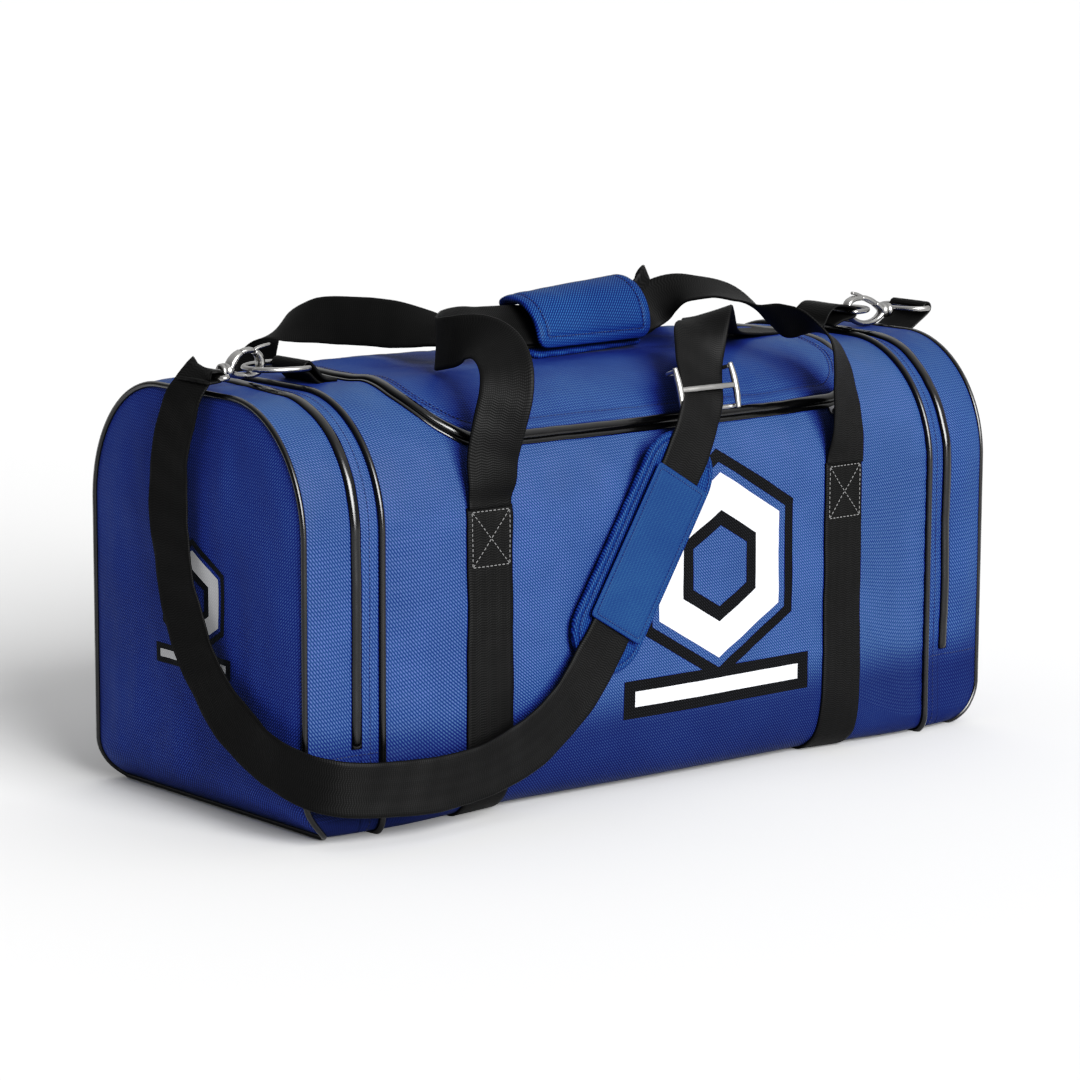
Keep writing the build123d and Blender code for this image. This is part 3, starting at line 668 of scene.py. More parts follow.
def tube_along(points, normals, wide, high, segments=12, closed=False):
    """An oval tube along points: wide lies in the surface, high stands along the normals."""
    points, normals = np.asarray(points, float), np.asarray(normals, float)
    if closed:
        ahead = np.roll(points, -1, 0) - np.roll(points, 1, 0)
    else:
        ahead = np.gradient(points, axis=0)
    ahead /= np.maximum(np.linalg.norm(ahead, axis=1, keepdims=True), 1e-9)
    side = np.cross(ahead, normals)
    side /= np.maximum(np.linalg.norm(side, axis=1, keepdims=True), 1e-9)
    up = np.cross(side, ahead)
    a = spread(0, TAU, segments + 1)[:-1]
    wide = np.broadcast_to(np.asarray(wide, float), (len(points),))
    high = np.broadcast_to(np.asarray(high, float), (len(points),))
    over = side[:, None] * (np.cos(a)[None, :, None] * wide[:, None, None])
    rise = up[:, None] * (np.sin(a)[None, :, None] * high[:, None, None])
    ring = points[:, None] + over + rise
    length = arc_length(points)
    uv = np.stack(np.broadcast_arrays(a[None, :] / TAU * 12, length[:, None]), -1)
    faces = quads(len(points), segments, wrap_rows=closed, wrap_cols=True).tolist()
    pts, uvs = ring.reshape(-1, 3), uv.reshape(-1, 2)
    if not closed:
        pts = np.concatenate([pts, points[[0, -1]]])
        uvs = np.concatenate([uvs, [[0, 0], [0, length[-1]]]])
        last = (len(points) - 1) * segments
        n = last + segments
        for i in range(segments):
            j = (i + 1) % segments
            faces.append([n, j, i])
            faces.append([n + 1, last + i, last + j])
    return pts, faces, uvs


def along_seam(x, off, ts=ROWS):
    return skin(np.full(ts.shape, float(x)), ts, off)


def place(obj, body, slot_name, *nodes):
    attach(obj, body)
    if nodes:
        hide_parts(*nodes)
    return obj


def lay(name, parts, material, body, slot_name, *nodes):
    """Build one piece from its (points, faces, uvs) and place it."""
    return place(build(name, *parts, material), body, slot_name, *nodes)


place(make_body(), "bag", "shell_fabric", "front_panel", "back_panel", "top_strip_left", "top_strip_right",
      "bottom_panel")
place(make_lid(), "lid", "shell_fabric", "lid")

ZIP_LOW = 62.0               # height of the pocket zips' lower ends
for side, word in ((-1, "left"), (1, "right")):
    # The right gussets take the lid's darker cloth: painted shade for the right side.
    cloth = shell if side < 0 else lid_shaded_shell
    for part, x0, x1, count in (("inner", SEAM_X, ZIP_X - 3.5, 11), ("outer", ZIP_X - 3.5, END_X, 21)):
        gusset = make_gusset(f"{word}_gusset_{part}", side, x0, x1, count, cloth)
        place(gusset, "bag", "shell_fabric", f"{word}_{part}_gusset")
    place(make_end(f"{word}_end_cloth", side), "bag", "shell_fabric", f"{word}_end_panel")
    p, n = along_seam(side * SEAM_X, 1.4)
    tube = tube_along(p, n, 2.5, 2.4, closed=True)
    lay(f"{word}_seam_piping", tube, piping_black, "bag", "piping", f"{word}_inner_piping")
    p, n = along_seam(side * END_X, 0.0)
    p[:, 0] -= side * 0.6
    tube = tube_along(p, n, 2.1, 2.1, closed=True)
    lay(f"{word}_edge_piping", tube, piping_black, "bag", "piping", f"{word}_end_piping")
    t_low = float(t_at_height(side * ZIP_X, ZIP_LOW))
    ts = np.concatenate([[t_low], ROWS[(ROWS > t_low + 0.002) & (ROWS < 2 - t_low - 0.002)], [2 - t_low]])
    p, n = along_seam(side * ZIP_X, 1.0, ts)
    lay(f"{word}_zip_welt", tube_along(p, n, 4.0, 2.6, 16), welt_black, "bag", "zip_tape",
        f"{word}_pocket_zip")

# ---------------------------------------------------------------- stitches


def dashes(points, normals, pitch, length, radius, lift):
    """Short threads along a line, as parts for join()."""
    points, normals = np.asarray(points, float), np.asarray(normals, float)
    run = arc_length(points)
    count = max(1, int(run[-1] / pitch))
    parts_p, parts_f = [], []
    ring = spread(0, TAU, 7)[:-1]
    at = 0
    for k in range(count):
        middle = (k + 0.5) * run[-1] / count
        ends = [middle - length / 2, middle + length / 2]
        if ends[0] < 0 or ends[1] > run[-1]:
            continue
        a, b = (np.array([np.interp(e, run, points[:, i]) for i in range(3)]) for e in ends)
        n = np.array([np.interp(middle, run, normals[:, i]) for i in range(3)])
        d = b - a
        d /= np.linalg.norm(d)
        side = np.cross(d, n)
        side /= np.linalg.norm(side)
        up = np.cross(side, d)
        stations = ((a, 0.25, -0.3), (a + d * radius, 0.95, 0.1), (b - d * radius, 0.95, 0.1),
                    (b, 0.25, -0.3))
        for spot, share, high in stations:
            centre = spot + up * (lift + high * radius)
            parts_p.append(centre + radius * share
                           * (np.cos(ring)[:, None] * side + np.sin(ring)[:, None] * up))
        for row in range(3):
            for i in range(6):
                j = (i + 1) % 6
                parts_f.append((at + row * 6 + i, at + row * 6 + j, at + row * 6 + 6 + j,
                                at + row * 6 + 6 + i))
        parts_f.append(tuple(at + i for i in range(5, -1, -1)))
        parts_f.append(tuple(at + 18 + i for i in range(6)))
        at += 24
    pts = np.concatenate(parts_p)
    return pts, parts_f, np.zeros((len(pts), 2))


# ---------------------------------------------------------------- lid edge, zips and seams

edge_turn = spread(0, math.pi / 2, 22)
lid_line = [(-LID_X, y) for y in spread(LID_BACK - 1, LID_FRONT + LID_ROUND, 50)]
lid_line += [(-LID_X + LID_ROUND - LID_ROUND * math.cos(a),
              LID_FRONT + LID_ROUND - LID_ROUND * math.sin(a)) for a in edge_turn[1:]]
lid_line += [(x, LID_FRONT) for x in spread(-LID_X + LID_ROUND, LID_X - LID_ROUND, 90)[1:]]
lid_line += [(LID_X - LID_ROUND + LID_ROUND * math.sin(a),
              LID_FRONT + LID_ROUND - LID_ROUND * math.cos(a)) for a in edge_turn[1:]]
lid_line += [(LID_X, y) for y in spread(LID_FRONT + LID_ROUND, LID_BACK - 1, 50)[1:]]
lid_line = np.array(lid_line)


def lid_parallel(out):
    """The lid's edge line moved outwards across the skin by out."""
    d = np.gradient(lid_line, axis=0)
    d /= np.linalg.norm(d, axis=1, keepdims=True)
    slope = np.abs(np.clip((np.abs(lid_line[:, 1]) - BASE_HALF + ARC) / ARC, 0, 1))
    squeeze = np.sqrt(1 - slope ** 2)
    return lid_line - out * np.stack([-d[:, 1], d[:, 0] * squeeze], -1)


welt_line = lid_parallel(1.0)
p, n = skin(welt_line[:, 0], t_at_plan(welt_line[:, 1]), 1.2)
lay("lid_edge_welt", tube_along(p, n, 3.6, 2.5, 18), welt_black, "lid", "piping", "lid_welt")
zip_line = lid_parallel(5.6)
p, n = skin(zip_line[:, 0], t_at_plan(zip_line[:, 1]), 0.2)
lay("lid_zip_band", tube_along(p, n, 2.2, 0.9, 12), welt_black, "bag", "zip_tape", "lid_zip")

for name, inset in (("lid_stitch_outer", 8.3), ("lid_stitch_inner", 11.2)):
    line = lid_parallel(-inset)
    p, n = skin(line[:, 0], t_at_plan(line[:, 1]), 1.1)
    lay(name, dashes(p, n, 3.0, 2.2, 0.3, 0.0), thread_dark, "lid", "shell_fabric")

for side, word in ((-1, "left"), (1, "right")):
    ts = ROWS[(ROWS > 0.26) & (ROWS < 1.74)]
    p, n = along_seam(side * 262.5, 0.1, ts)
    parts = [dashes(p, n, 3.0, 2.2, 0.28, 0.0)]
    for sign in (0, 1):
        t = float(t_at_height(side * ZIP_X, ZIP_LOW - 5))
        t = 2 - t if sign else t
        xs = spread(256, 309, 40) * side
        p, n = skin(xs, np.full(xs.shape, t), 0.15)
        parts.append(dashes(p, n, 3.0, 2.2, 0.28, 0.0))
    place(join(f"{word}_gusset_stitches", parts, thread_dark), "bag", "shell_fabric")

# ---------------------------------------------------------------- webbing belts round the body

BELT_X, BELT_SHIFT, BELT_WIDTH, BOX_LOW, BOX_HIGH = 163.0, -4.0, 38.0, 172.0, 214.6


def rim(width, thick, off, count=13):
    """The closed section of a woven tape: (across, outwards) pairs with soft edges."""
    h = width / 2
    r = min(thick * 0.5, 0.9)
    top = [(u, off + thick + 0.10 * math.cos(u / h * 1.4)) for u in spread(-h + r, h - r, count)]
    low = [(u, off) for u in spread(h - r, -h + r, count)]
    return np.array([(-h, off + thick * 0.5), *top, (h, off + thick * 0.5), *low])


def belt(name, x0):
    t_top = float(t_at_height(x0, BOX_HIGH))
    ts = np.concatenate([-(ROWS[(ROWS < t_top) & (ROWS > 0)][::-1]), [0.0],
                         ROWS[(ROWS < t_top) & (ROWS > 0)]])
    ts = np.concatenate([[-t_top], ts[np.abs(ts) < t_top - 0.002], [t_top]])
    section = rim(BELT_WIDTH, 1.5, 0.35)
    wave = 0.5 * ripple(np.stack([ts * 700, ts * 0 + x0, ts * 0], -1), 60, 21)
    x = x0 + section[None, :, 0] + wave[:, None]
    t = np.repeat(ts[:, None], len(section), 1)
    t = np.where(t < 0, 2 + t, t)
    p, _ = skin(x, t, section[None, :, 1] + 0 * x)
    uv = np.stack([np.broadcast_to(section[None, :, 0], x.shape),
                   np.broadcast_to(np.sign(ts)[:, None] * v_at(np.abs(ts))[:, None], x.shape)], -1)
    return build(name, p.reshape(-1, 3), capped(len(ts), len(section)), uv.reshape(-1, 2), belt_web)


def box_stitch(name, x0, back=False):
    parts = []
    w, low, high = 15.5, BOX_LOW + 2.5, BOX_HIGH - 3.0
    corners = [(-w, low), (w, low), (w, high), (-w, high)]
    runs = [(corners[i], corners[(i + 1) % 4]) for i in range(4)]
    runs += [(corners[0], corners[2]), (corners[1], corners[3])]
    for (xa, za), (xb, zb) in runs:
        x, z = x0 + spread(xa, xb, 24), spread(za, zb, 24)
        t = t_at_height(x, z)
        p, n = skin(x, 2 - t if back else t, 2.0)
        parts.append(dashes(p, n, 3.3, 2.2, 0.34, 0.12))
    return join(name, parts, thread_grey)


for side, word in ((-1, "left"), (1, "right")):
    place(belt(f"{word}_belt_webbing", side * BELT_X + BELT_SHIFT), "bag", "webbing", f"{word}_webbing_belt")
    place(box_stitch(f"{word}_box_stitch_front", side * BELT_X + BELT_SHIFT), "bag", "webbing")
    place(box_stitch(f"{word}_box_stitch_back", side * BELT_X + BELT_SHIFT, True), "bag", "webbing")

# ---------------------------------------------------------------- ribbons


def curve_through(keys, values, at):
    """Smooth curve through values at keys, read at other places: each value may be a vector."""
    keys, values = np.asarray(keys, float), np.asarray(values, float)
    slope = np.zeros_like(values)
    gap = np.diff(keys)[:, None]
    rate = np.diff(values, axis=0) / gap
    slope[1:-1] = (rate[:-1] * gap[1:] + rate[1:] * gap[:-1]) / (gap[:-1] + gap[1:])
    slope[0], slope[-1] = rate[0], rate[-1]
    k = np.clip(np.searchsorted(keys, at, "right") - 1, 0, len(keys) - 2)
    h = (keys[k + 1] - keys[k])[:, None]
    s = (at[:, None] - keys[k][:, None]) / h
    return ((2 * s ** 3 - 3 * s ** 2 + 1) * values[k] + (s ** 3 - 2 * s ** 2 + s) * h * slope[k]
            + (3 * s ** 2 - 2 * s ** 3) * values[k + 1] + (s ** 3 - s ** 2) * h * slope[k + 1])


def ribbon(name, frames, width, thick, material, pitch=2.6, cup=0.0, flutter=0.5, seed=4):
    """Webbing through (point, direction across it) control frames."""
    spots = np.array([f[0] for f in frames], float)
    wide = np.array([f[1] for f in frames], float)
    wide /= np.linalg.norm(wide, axis=1, keepdims=True)
    gaps = np.linalg.norm(np.diff(spots, axis=0), axis=1) ** 0.6
    keys = np.concatenate([[0], np.cumsum(gaps)])
    fine = spread(0, keys[-1], 1200)
    path = curve_through(keys, spots, fine)
    run = arc_length(path)
    count = int(run[-1] / pitch) + 1
    at = np.interp(spread(0, run[-1], count), run, fine)
    path = curve_through(keys, spots, at)
    side = curve_through(keys, wide, at)
    length = spread(0, run[-1], count)
    ahead = np.gradient(path, axis=0)
    ahead /= np.linalg.norm(ahead, axis=1, keepdims=True)
    side -= ahead * (side * ahead).sum(1, keepdims=True)
    side /= np.linalg.norm(side, axis=1, keepdims=True)
    out = np.cross(ahead, side)
    section = rim(width, thick, -thick / 2, 15)
    u = section[None, :, 0] * np.ones((count, 1))
    lift = section[None, :, 1] * np.ones((count, 1))
    lift = lift + cup * (1 - (2 * u / width) ** 2)
    if flutter:
        phase = length[:, None]
        draw = np.random.default_rng(seed)
        a, b, c = draw.uniform(0, TAU, 3)
        ends = np.clip(np.minimum(phase, run[-1] - phase) / 30, 0, 1)
        sway = 2 * u / width
        waves = sway * np.sin(phase * TAU / 83 + a) + 0.6 * np.sin(phase * TAU / 47 + b) * sway ** 2
        waves = waves + 0.25 * np.sin(phase * TAU / 23 + u / 9 + c)
        lift = lift + ends * flutter * waves
    p = path[:, None] + side[:, None] * u[..., None] + out[:, None] * lift[..., None]
    uv = np.stack([u, np.broadcast_to(length[:, None], u.shape)], -1)
    return build(name, p.reshape(-1, 3), capped(count, len(section)), uv.reshape(-1, 2), material)


def front_at(x, z, off):
    p, _ = skin([x], t_at_height([x], [z]), off)
    return tuple(p[0])


def back_at(x, z, off):
    p, _ = skin([x], 2 - t_at_height([x], [z]), off)
    return tuple(p[0])


OUT = (0, 0.7071, 0.7071)
front_frames = [
    (front_at(-167, 213.0, 2.0), (1, 0, 0)),
    (front_at(-167, 218, 3.0), (1, 0, 0)),
    ((-168.5, -140.5, 230), (0.98, -0.16, 0)),
    ((-170, -142.5, 250), (0.92, -0.38, 0.03)),
    ((-167, -146, 272), (0.86, -0.5, 0.06)),
    ((-162, -146.5, 292), (0.84, -0.52, 0.1)),
    ((-157, -140, 308), (0.82, -0.5, 0.25)),
    ((-152, -122, 321), (0.8, -0.36, 0.46)),
    ((-152, -100, 324), (0.6, -0.25, 0.75)),
    ((-155, -77, 319), (0.2, -0.2, 0.95)),
    ((-149, -54, 315), (0.05, 0.05, 1)),
    ((-128, -36, 316), (0.0, 0.25, 0.97)),
    ((-100, -24, 318), (0, 0.5, 0.87)),
    ((-72, -18, 318), OUT),
    ((-48, -16, 317), OUT),
    ((10, -16, 317), OUT),
    ((60, -16.5, 318), OUT),
    ((74, -18, 323), (0, 0.6, 0.8)),
    ((86, -24, 330), (0.22, 0.7, 0.68)),
    ((96, -38, 335), (0.52, 0.77, 0.36)),
    ((106, -60, 334.5), (0.62, 0.75, 0.24)),
    ((113, -79, 328), (0.63, 0.77, 0.06)),
    ((118, -95, 320), (0.6, 0.72, -0.34)),
    ((123, -108, 316.5), (0.5, 0.42, -0.76)),
    ((130, -119, 316.5), (0.6, 0.5, -0.62)),
    ((139, -130, 312), (0.68, 0.68, -0.25)),
    ((146, -137.5, 302), (0.76, 0.65, -0.05)),
    ((150, -141.5, 286), (0.85, 0.5, 0)),
    ((154, -142, 264), (0.92, 0.38, 0)),
    ((158, -141, 236), (0.98, 0.15, 0)),
    (front_at(159, 218, 3.0), (1, 0, 0)),
    (front_at(159, 213.0, 2.0), (1, 0, 0)),
]
front_handle = ribbon("front_handle_webbing", front_frames, 36.5, 1.7, strap_web, cup=0.5, seed=5)
back_frames = [
    (back_at(-167, 213, 2.0), (1, 0, 0)),
    (back_at(-167, 218, 3.0), (1, 0, 0)),
    ((-167, 140, 240), (1, 0, 0)),
    ((-166, 141, 270), (1, 0, 0)),
    ((-161, 137, 292), (1, 0.1, 0.1)),
    ((-153, 124, 309), (0.8, 0.35, 0.5)),
    ((-143, 102, 316), (0.5, 0.35, 0.8)),
    ((-132, 74, 318), (0.35, 0.3, 0.88)),
    ((-121, 44, 318), (0.35, 0.35, 0.86)),
    ((-111, 14, 316), (0.55, 0.55, 0.62)),
    ((-98, -4, 314), (0.5, 0.75, 0.42)),
    ((-76, -12, 314), (0.1, 0.75, 0.65)),
    ((-52, -13.5, 314.5), OUT),
    ((10, -13.5, 314.5), OUT),
    ((60, -13.5, 315), OUT),
    ((74, -12, 323), (-0.1, 0.4, 0.9)),
    ((83, -9, 333), (-0.3, 0.05, 0.95)),
    ((97, 2, 331), (-0.65, 0.4, 0.6)),
    ((120, 27, 320), (-0.75, 0.6, 0.3)),
    ((144, 64, 316), (-0.8, 0.5, 0.3)),
    ((159, 100, 312), (-0.85, 0.35, 0.35)),
    ((162, 126, 302), (-0.97, 0.15, 0.1)),
    ((160, 139, 284), (-1, 0, 0)),
    ((159, 141, 262), (-1, 0, 0)),
    ((159, 140, 240), (-1, 0, 0)),
    (back_at(159, 218, 3.0), (-1, 0, 0)),
    (back_at(159, 213, 2.0), (-1, 0, 0)),
]
back_handle = ribbon("back_handle_webbing", back_frames, 36.5, 1.7, strap_web, cup=0.5, seed=6)
place(back_handle, "grip", "webbing", "back_handle")
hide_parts("front_handle")
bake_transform(front_handle)

# ---------------------------------------------------------------- padded pieces


def cushion(name, where, length, width, corner, front, back, material, grooves=(), count=(90, 44), crown=0.0,
            roll=3.0, soft=0.25, seed=9):
    """A padded panel about the sheet where(a, b), a along, b across, front and back its half thicknesses."""
    rows, cols = count

    def dense(n):
        s = spread(-1, 1, n)
        return 0.45 * s + 0.55 * np.sin(s * math.pi / 2)

    b = dense(cols) * width / 2
    turn = np.clip(np.abs(b) - (width / 2 - corner), 0, corner)
    reach = length / 2 - corner + np.sqrt(np.maximum(corner ** 2 - turn ** 2, 0))
    a = dense(rows)[:, None] * reach[None, :]
    b = np.repeat(b[None, :], rows, 0)
    ca, cb = np.abs(a) - (length / 2 - corner), np.abs(b) - (width / 2 - corner)
    d = np.where((ca > 0) & (cb > 0), corner - np.hypot(np.maximum(ca, 0), np.maximum(cb, 0)),
                 np.minimum(length / 2 - np.abs(a), width / 2 - np.abs(b)))
    d = np.maximum(d, 0)
    round_off = np.sqrt(np.clip(1 - (1 - np.clip(d / roll, 0, 1)) ** 2, 0, 1))
    middle, n = where(a, b)
    sides = []
    for sign, thick in ((1, front), (-1, back)):
        out = thick * round_off + crown * (1 - np.exp(-d / 14)) * (1 if sign > 0 else 0.4)
        if sign > 0:
            for at, deep, wide in grooves:
                out = out - deep * np.exp(-((d - at) / wide) ** 2)
            wave = soft * ripple(np.stack([a, b, 0 * a], -1), 26, seed) * np.clip(d / 6, 0, 1)
            out = out + wave
        sides.append(middle + n * (sign * out)[..., None])
    faces = quads(rows, cols)
    total = rows * cols
    pts = np.concatenate([s.reshape(-1, 3) for s in sides])
    uv = np.stack([b, a], -1).reshape(-1, 2)
    made = build(name, pts, np.concatenate([faces, faces[:, ::-1] + total]), np.concatenate([uv, uv]),
                 material)
    face_outwards(made, 0.02)
    return made


WRAP_LENGTH, WRAP_MIDDLE, WRAP_AXIS, WRAP_TWIST, WRAP_RISE = 106.0, 8.5, (-14.0, 316.0), -0.26, 6.0


def section_sheet(points, x_middle):
    """Where a sheet curved across X lies: points are (y, z) from its upper to its lower edge."""
    points = np.array(points, float)
    keys = arc_length(points)
    fine = spread(0, keys[-1], 300)
    line = curve_through(keys, points, fine)
    run = arc_length(line)
    slope = np.gradient(line, axis=0)
    slope /= np.linalg.norm(slope, axis=1, keepdims=True)

    def where(a, b):
        s = b + run[-1] / 2
        y, z = np.interp(s, run, line[:, 0]), np.interp(s, run, line[:, 1])
        ty, tz = np.interp(s, run, slope[:, 0]), np.interp(s, run, slope[:, 1])
        share = 0.5 + a / WRAP_LENGTH
        turn = WRAP_TWIST * (1 - share)
        cos, sin = np.cos(turn), np.sin(turn)
        dy, dz = y - WRAP_AXIS[0], z - WRAP_AXIS[1]
        y = WRAP_AXIS[0] + dy * cos - dz * sin
        z = WRAP_AXIS[1] + dy * sin + dz * cos + WRAP_RISE * (share - 0.15)
        ny, nz = tz, -ty
        return np.stack([x_middle + a, y, z],
                        -1), np.stack([0 * a, ny * cos - nz * sin, ny * sin + nz * cos], -1)

    return where, run[-1]


flap_where, flap_span = section_sheet([(9, 334), (0, 337.5), (-12, 336), (-23, 330), (-30.5, 320),
                                       (-33.5, 308), (-32, 297)], WRAP_MIDDLE)
flap = cushion("grip_wrap_flap", flap_where, WRAP_LENGTH, flap_span, 9, 2.6, 2.2, pad_shell,
               grooves=((8.0, 1.1, 1.1), (2.2, 0.3, 0.8)), crown=0.9, roll=2.6)
place(flap, "wrap_flap", "shell_fabric", "wrap_flap")
core_where, core_span = section_sheet([(6, 329), (0, 316), (-9, 305), (-21, 296), (-27, 292.5)], WRAP_MIDDLE)
core = cushion("grip_wrap_core", core_where, WRAP_LENGTH + 2, core_span, 8, 2.0, 2.4, pad_shell,
               grooves=((7.0, 0.8, 1.1),), crown=0.4, roll=2.4)
place(core, "grip", "shell_fabric", "handle_wrap")


def rect_line(length, width, corner, inset, count=160):
    """A rounded rectangle's line, inset from its edge, as (a, b) pairs."""
    l, w, r = length / 2 - inset, width / 2 - inset, max(corner - inset, 1.0)
    pts = []
    for ca, cb, start in ((l - r, w - r, 0), (-l + r, w - r, 1), (-l + r, -w + r, 2), (l - r, -w + r, 3)):
        for q in spread(0, math.pi / 2, 9):
            g = q + start * math.pi / 2
            pts.append((ca + r * math.cos(g), cb + r * math.sin(g)))
    pts.append(pts[0])
    pts = np.array(pts)
    run = arc_length(pts)
    at = spread(0, run[-1], count)
    return np.interp(at, run, pts[:, 0]), np.interp(at, run, pts[:, 1])


a, b = rect_line(WRAP_LENGTH, flap_span, 9, 8.0)
p, n = flap_where(a, b)
lay("grip_wrap_stitches", dashes(p + n * 2.6, n, 3.0, 2.2, 0.3, 0.0), thread_dark, "wrap_flap",
    "shell_fabric")

# Shoulder pad with its sleeve.
PAD_TURN = math.radians(58.8)
PAD_LONG = np.array([math.cos(PAD_TURN), 0, math.sin(PAD_TURN)])
PAD_WIDE = np.array([math.sin(PAD_TURN), 0, -math.cos(PAD_TURN)])


def pad_sheet(depth, bend):
    """Where a sheet of the shoulder pad lies, nearly flat, at y = depth."""
    def where(a, b):
        p = np.array([-39, depth, 171.0]) + a[..., None] * PAD_LONG + b[..., None] * PAD_WIDE
        p[..., 1] += bend * ((a / 100) ** 2 + 0.4 * (b / 30) ** 2)
        return p, np.stack([0 * a, -np.ones_like(a), 0 * a], -1)
    return where


pad_where = pad_sheet(-144.6, 0.8)
pad = cushion("shoulder_pad_cloth", pad_where, 178, 66, 29, 3.0, 2.4, pad_shell, grooves=((5.0, 1.0, 1.2),),
              crown=0.6, roll=3.0)
place(pad, "pad", "shell_fabric", "shoulder_pad")
sleeve_where = pad_sheet(-151.6, 0.5)
sleeve = cushion("pad_sleeve_cloth", sleeve_where, 118, 51, 3, 0.9, 0.7, sleeve_cloth,
                 grooves=((3.4, 0.35, 0.8),), count=(80, 40), crown=0.5, roll=0.9, soft=0.35)
place(sleeve, "pad", "shell_fabric", "pad_sleeve")
a, b = rect_line(178, 66, 29, 5.0)
p, n = pad_where(a, b)
lay("pad_stitches", dashes(p + n * 3.2, n, 3.0, 2.1, 0.3, 0.0), thread_blue, "pad", "shell_fabric")
a, b = rect_line(118, 51, 3, 3.4)
p, n = sleeve_where(a, b)
lay("sleeve_stitches", dashes(p + n * 1.25, n, 2.4, 1.7, 0.26, 0.0), thread_blue, "pad", "shell_fabric")

# ---------------------------------------------------------------- shoulder strap and tabs

LEFT_BAR, RIGHT_BAR, HARD_Y, HARD_Z = -313.0, 268.0, -12.0, 303.5
TURN_R = 2.0 + 0.7 + 1.1


def loop_round(x, z, start, stop, wide=(0, 1, 0), count=7):
    out = []
    for q in spread(math.radians(start), math.radians(stop), count):
        out.append(((x + TURN_R * math.cos(q), HARD_Y, z + TURN_R * math.sin(q)), wide))
    return out


left_run = [((LEFT_BAR - 9, HARD_Y, HARD_Z - 4.4), (0, 1, 0))] + loop_round(LEFT_BAR, HARD_Z, -90, 90) + [
    ((-315, -10, 304.5), (0, 1, 0)),
    ((-324, -6, 290), (0, 1, 0)),
    ((-327.5, 4, 262), (-0.1, 1, 0)),
    ((-328, 10, 228), (-0.12, 1, 0)),
    ((-328, 8, 190), (-0.12, 1, -0.06)),
    ((-328, -1, 152), (-0.12, 0.97, -0.2)),
    ((-328, -17, 120), (-0.1, 0.85, -0.5)),
    ((-328, -45, 88), (-0.1, 0.65, -0.75)),
    ((-328, -82, 66), (-0.05, 0.45, -0.9)),
    ((-325, -120, 52), (0, 0.25, -0.97)),
    ((-308, -151, 44), (0, 0.1, -1)),
    ((-264, -162, 39.5), (0, 0, -1)),
    ((-224, -161.5, 37.8), (0.02, 0, -1)),
    ((-186, -158.5, 41), (0.13, 0, -0.99)),
    ((-150, -155, 50.5), (0.37, 0, -0.93)),
    ((-120, -152, 66), (0.57, 0, -0.82)),
    ((-96, -150, 87), (0.7, 0, -0.7)),
    ((-76, -149.6, 114), (0.83, 0, -0.55)),
    ((-39, -149.3, 173.5), (0.855, 0, -0.518)),
    ((-5, -149.2, 232), (0.86, 0, -0.5)),
    ((9, -147.2, 258), (0.93, 0, -0.34)),
    ((17, -141.5, 273), (0.98, 0, -0.14)),
    ((28, -126, 294), (1, 0, 0)),
    ((42, -111, 315), (0.95, -0.2, 0.22)),
    ((59, -98, 325), (0.82, -0.42, 0.36)),
    ((70, -87, 323), (0.76, -0.6, 0.2)),
    ((84, -73, 317), (0.72, -0.68, 0.05)),
]
right_run = [
    ((84, -73, 317), (0.72, -0.68, 0.05)),
    ((103, -55, 308), (0.6, -0.8, 0)),
    ((128, -37, 301.5), (0.45, -0.9, 0)),
    ((180, -20, 296.5), (0.2, -1, 0)),
    ((224, -14, 295.5), (0, -1, 0)),
    ((238, -12, 298.5), (0, -1, 0)),
    ((243, -12, 306), (0, -1, 0)),
    ((250, -12, 311), (0, -1, 0)),
    ((261, HARD_Y, 310.6), (0, -1, 0)),
] + loop_round(RIGHT_BAR, HARD_Z + 2, 90, -90,
               (0, -1, 0)) + [((RIGHT_BAR - 10, HARD_Y, HARD_Z - 3.4), (0, -1, 0)),
                              ((RIGHT_BAR - 20, HARD_Y, HARD_Z - 7), (0, -1, 0))]
strap_a = ribbon("shoulder_strap_front", left_run, 38.0, 1.9, strap_web, cup=0.3, flutter=0.7, seed=12)
strap_b = ribbon("shoulder_strap_top", right_run, 38.0, 1.9, strap_web, cup=0.3, flutter=0.0, seed=13)
for piece, start, end in ((strap_a, (0, -0.125, 0.296), (0.03, -0.1, 0.322)),
                          (strap_b, (0.27, -0.012, 0.305), (0.12, -0.04, 0.302))):
    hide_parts("shoulder_strap")
    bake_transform(piece)

left_tab = [((-216, HARD_Y, 293.5), (0, 1, 0)), ((-226, HARD_Y, 294.8), (0, 1, 0))]
left_tab += loop_round(-240, HARD_Z, 80, 270)
left_tab += [((-230, HARD_Y, 292.0), (0, 1, 0)), ((-216, HARD_Y, 291.6), (0, 1, 0))]
right_tab = loop_round(346, HARD_Z, 170, -60) + [
    ((334, HARD_Y, 291.5), (0, 1, 0)), ((322, HARD_Y, 283), (0, 1, 0)),
    ((315.5, HARD_Y, 270), (0, 1, 0)), ((315, HARD_Y, 248), (0, 1, 0))]
place(ribbon("left_tab_webbing", left_tab, 38, 1.9, strap_web, pitch=1.2, flutter=0), "bag", "webbing",
      "left_ring_tab")
place(ribbon("right_tab_webbing", right_tab, 38, 1.9, strap_web, pitch=1.2, flutter=0), "bag", "webbing",
      "right_ring_tab")

# ---------------------------------------------------------------- printed marks


def front_print(x, z, off=0.22):
    p, _ = skin(x, t_at_height(x, z), off)
    return p


def end_print(u, z, off=0.22):
    return end_surface(-1, u, z, off)


def corner_ring(radius, corners, each, turn):
    """A regular polygon's outline, evenly divided."""
    a = np.arange(corners + 1) * TAU / corners + turn
    spots = np.stack([np.cos(a), np.sin(a)], -1) * radius
    share = spread(0, 1, each + 1)[:-1]
    return np.concatenate([spots[i] * (1 - share)[:, None] + spots[i + 1]
                           * share[:, None] for i in range(corners)])


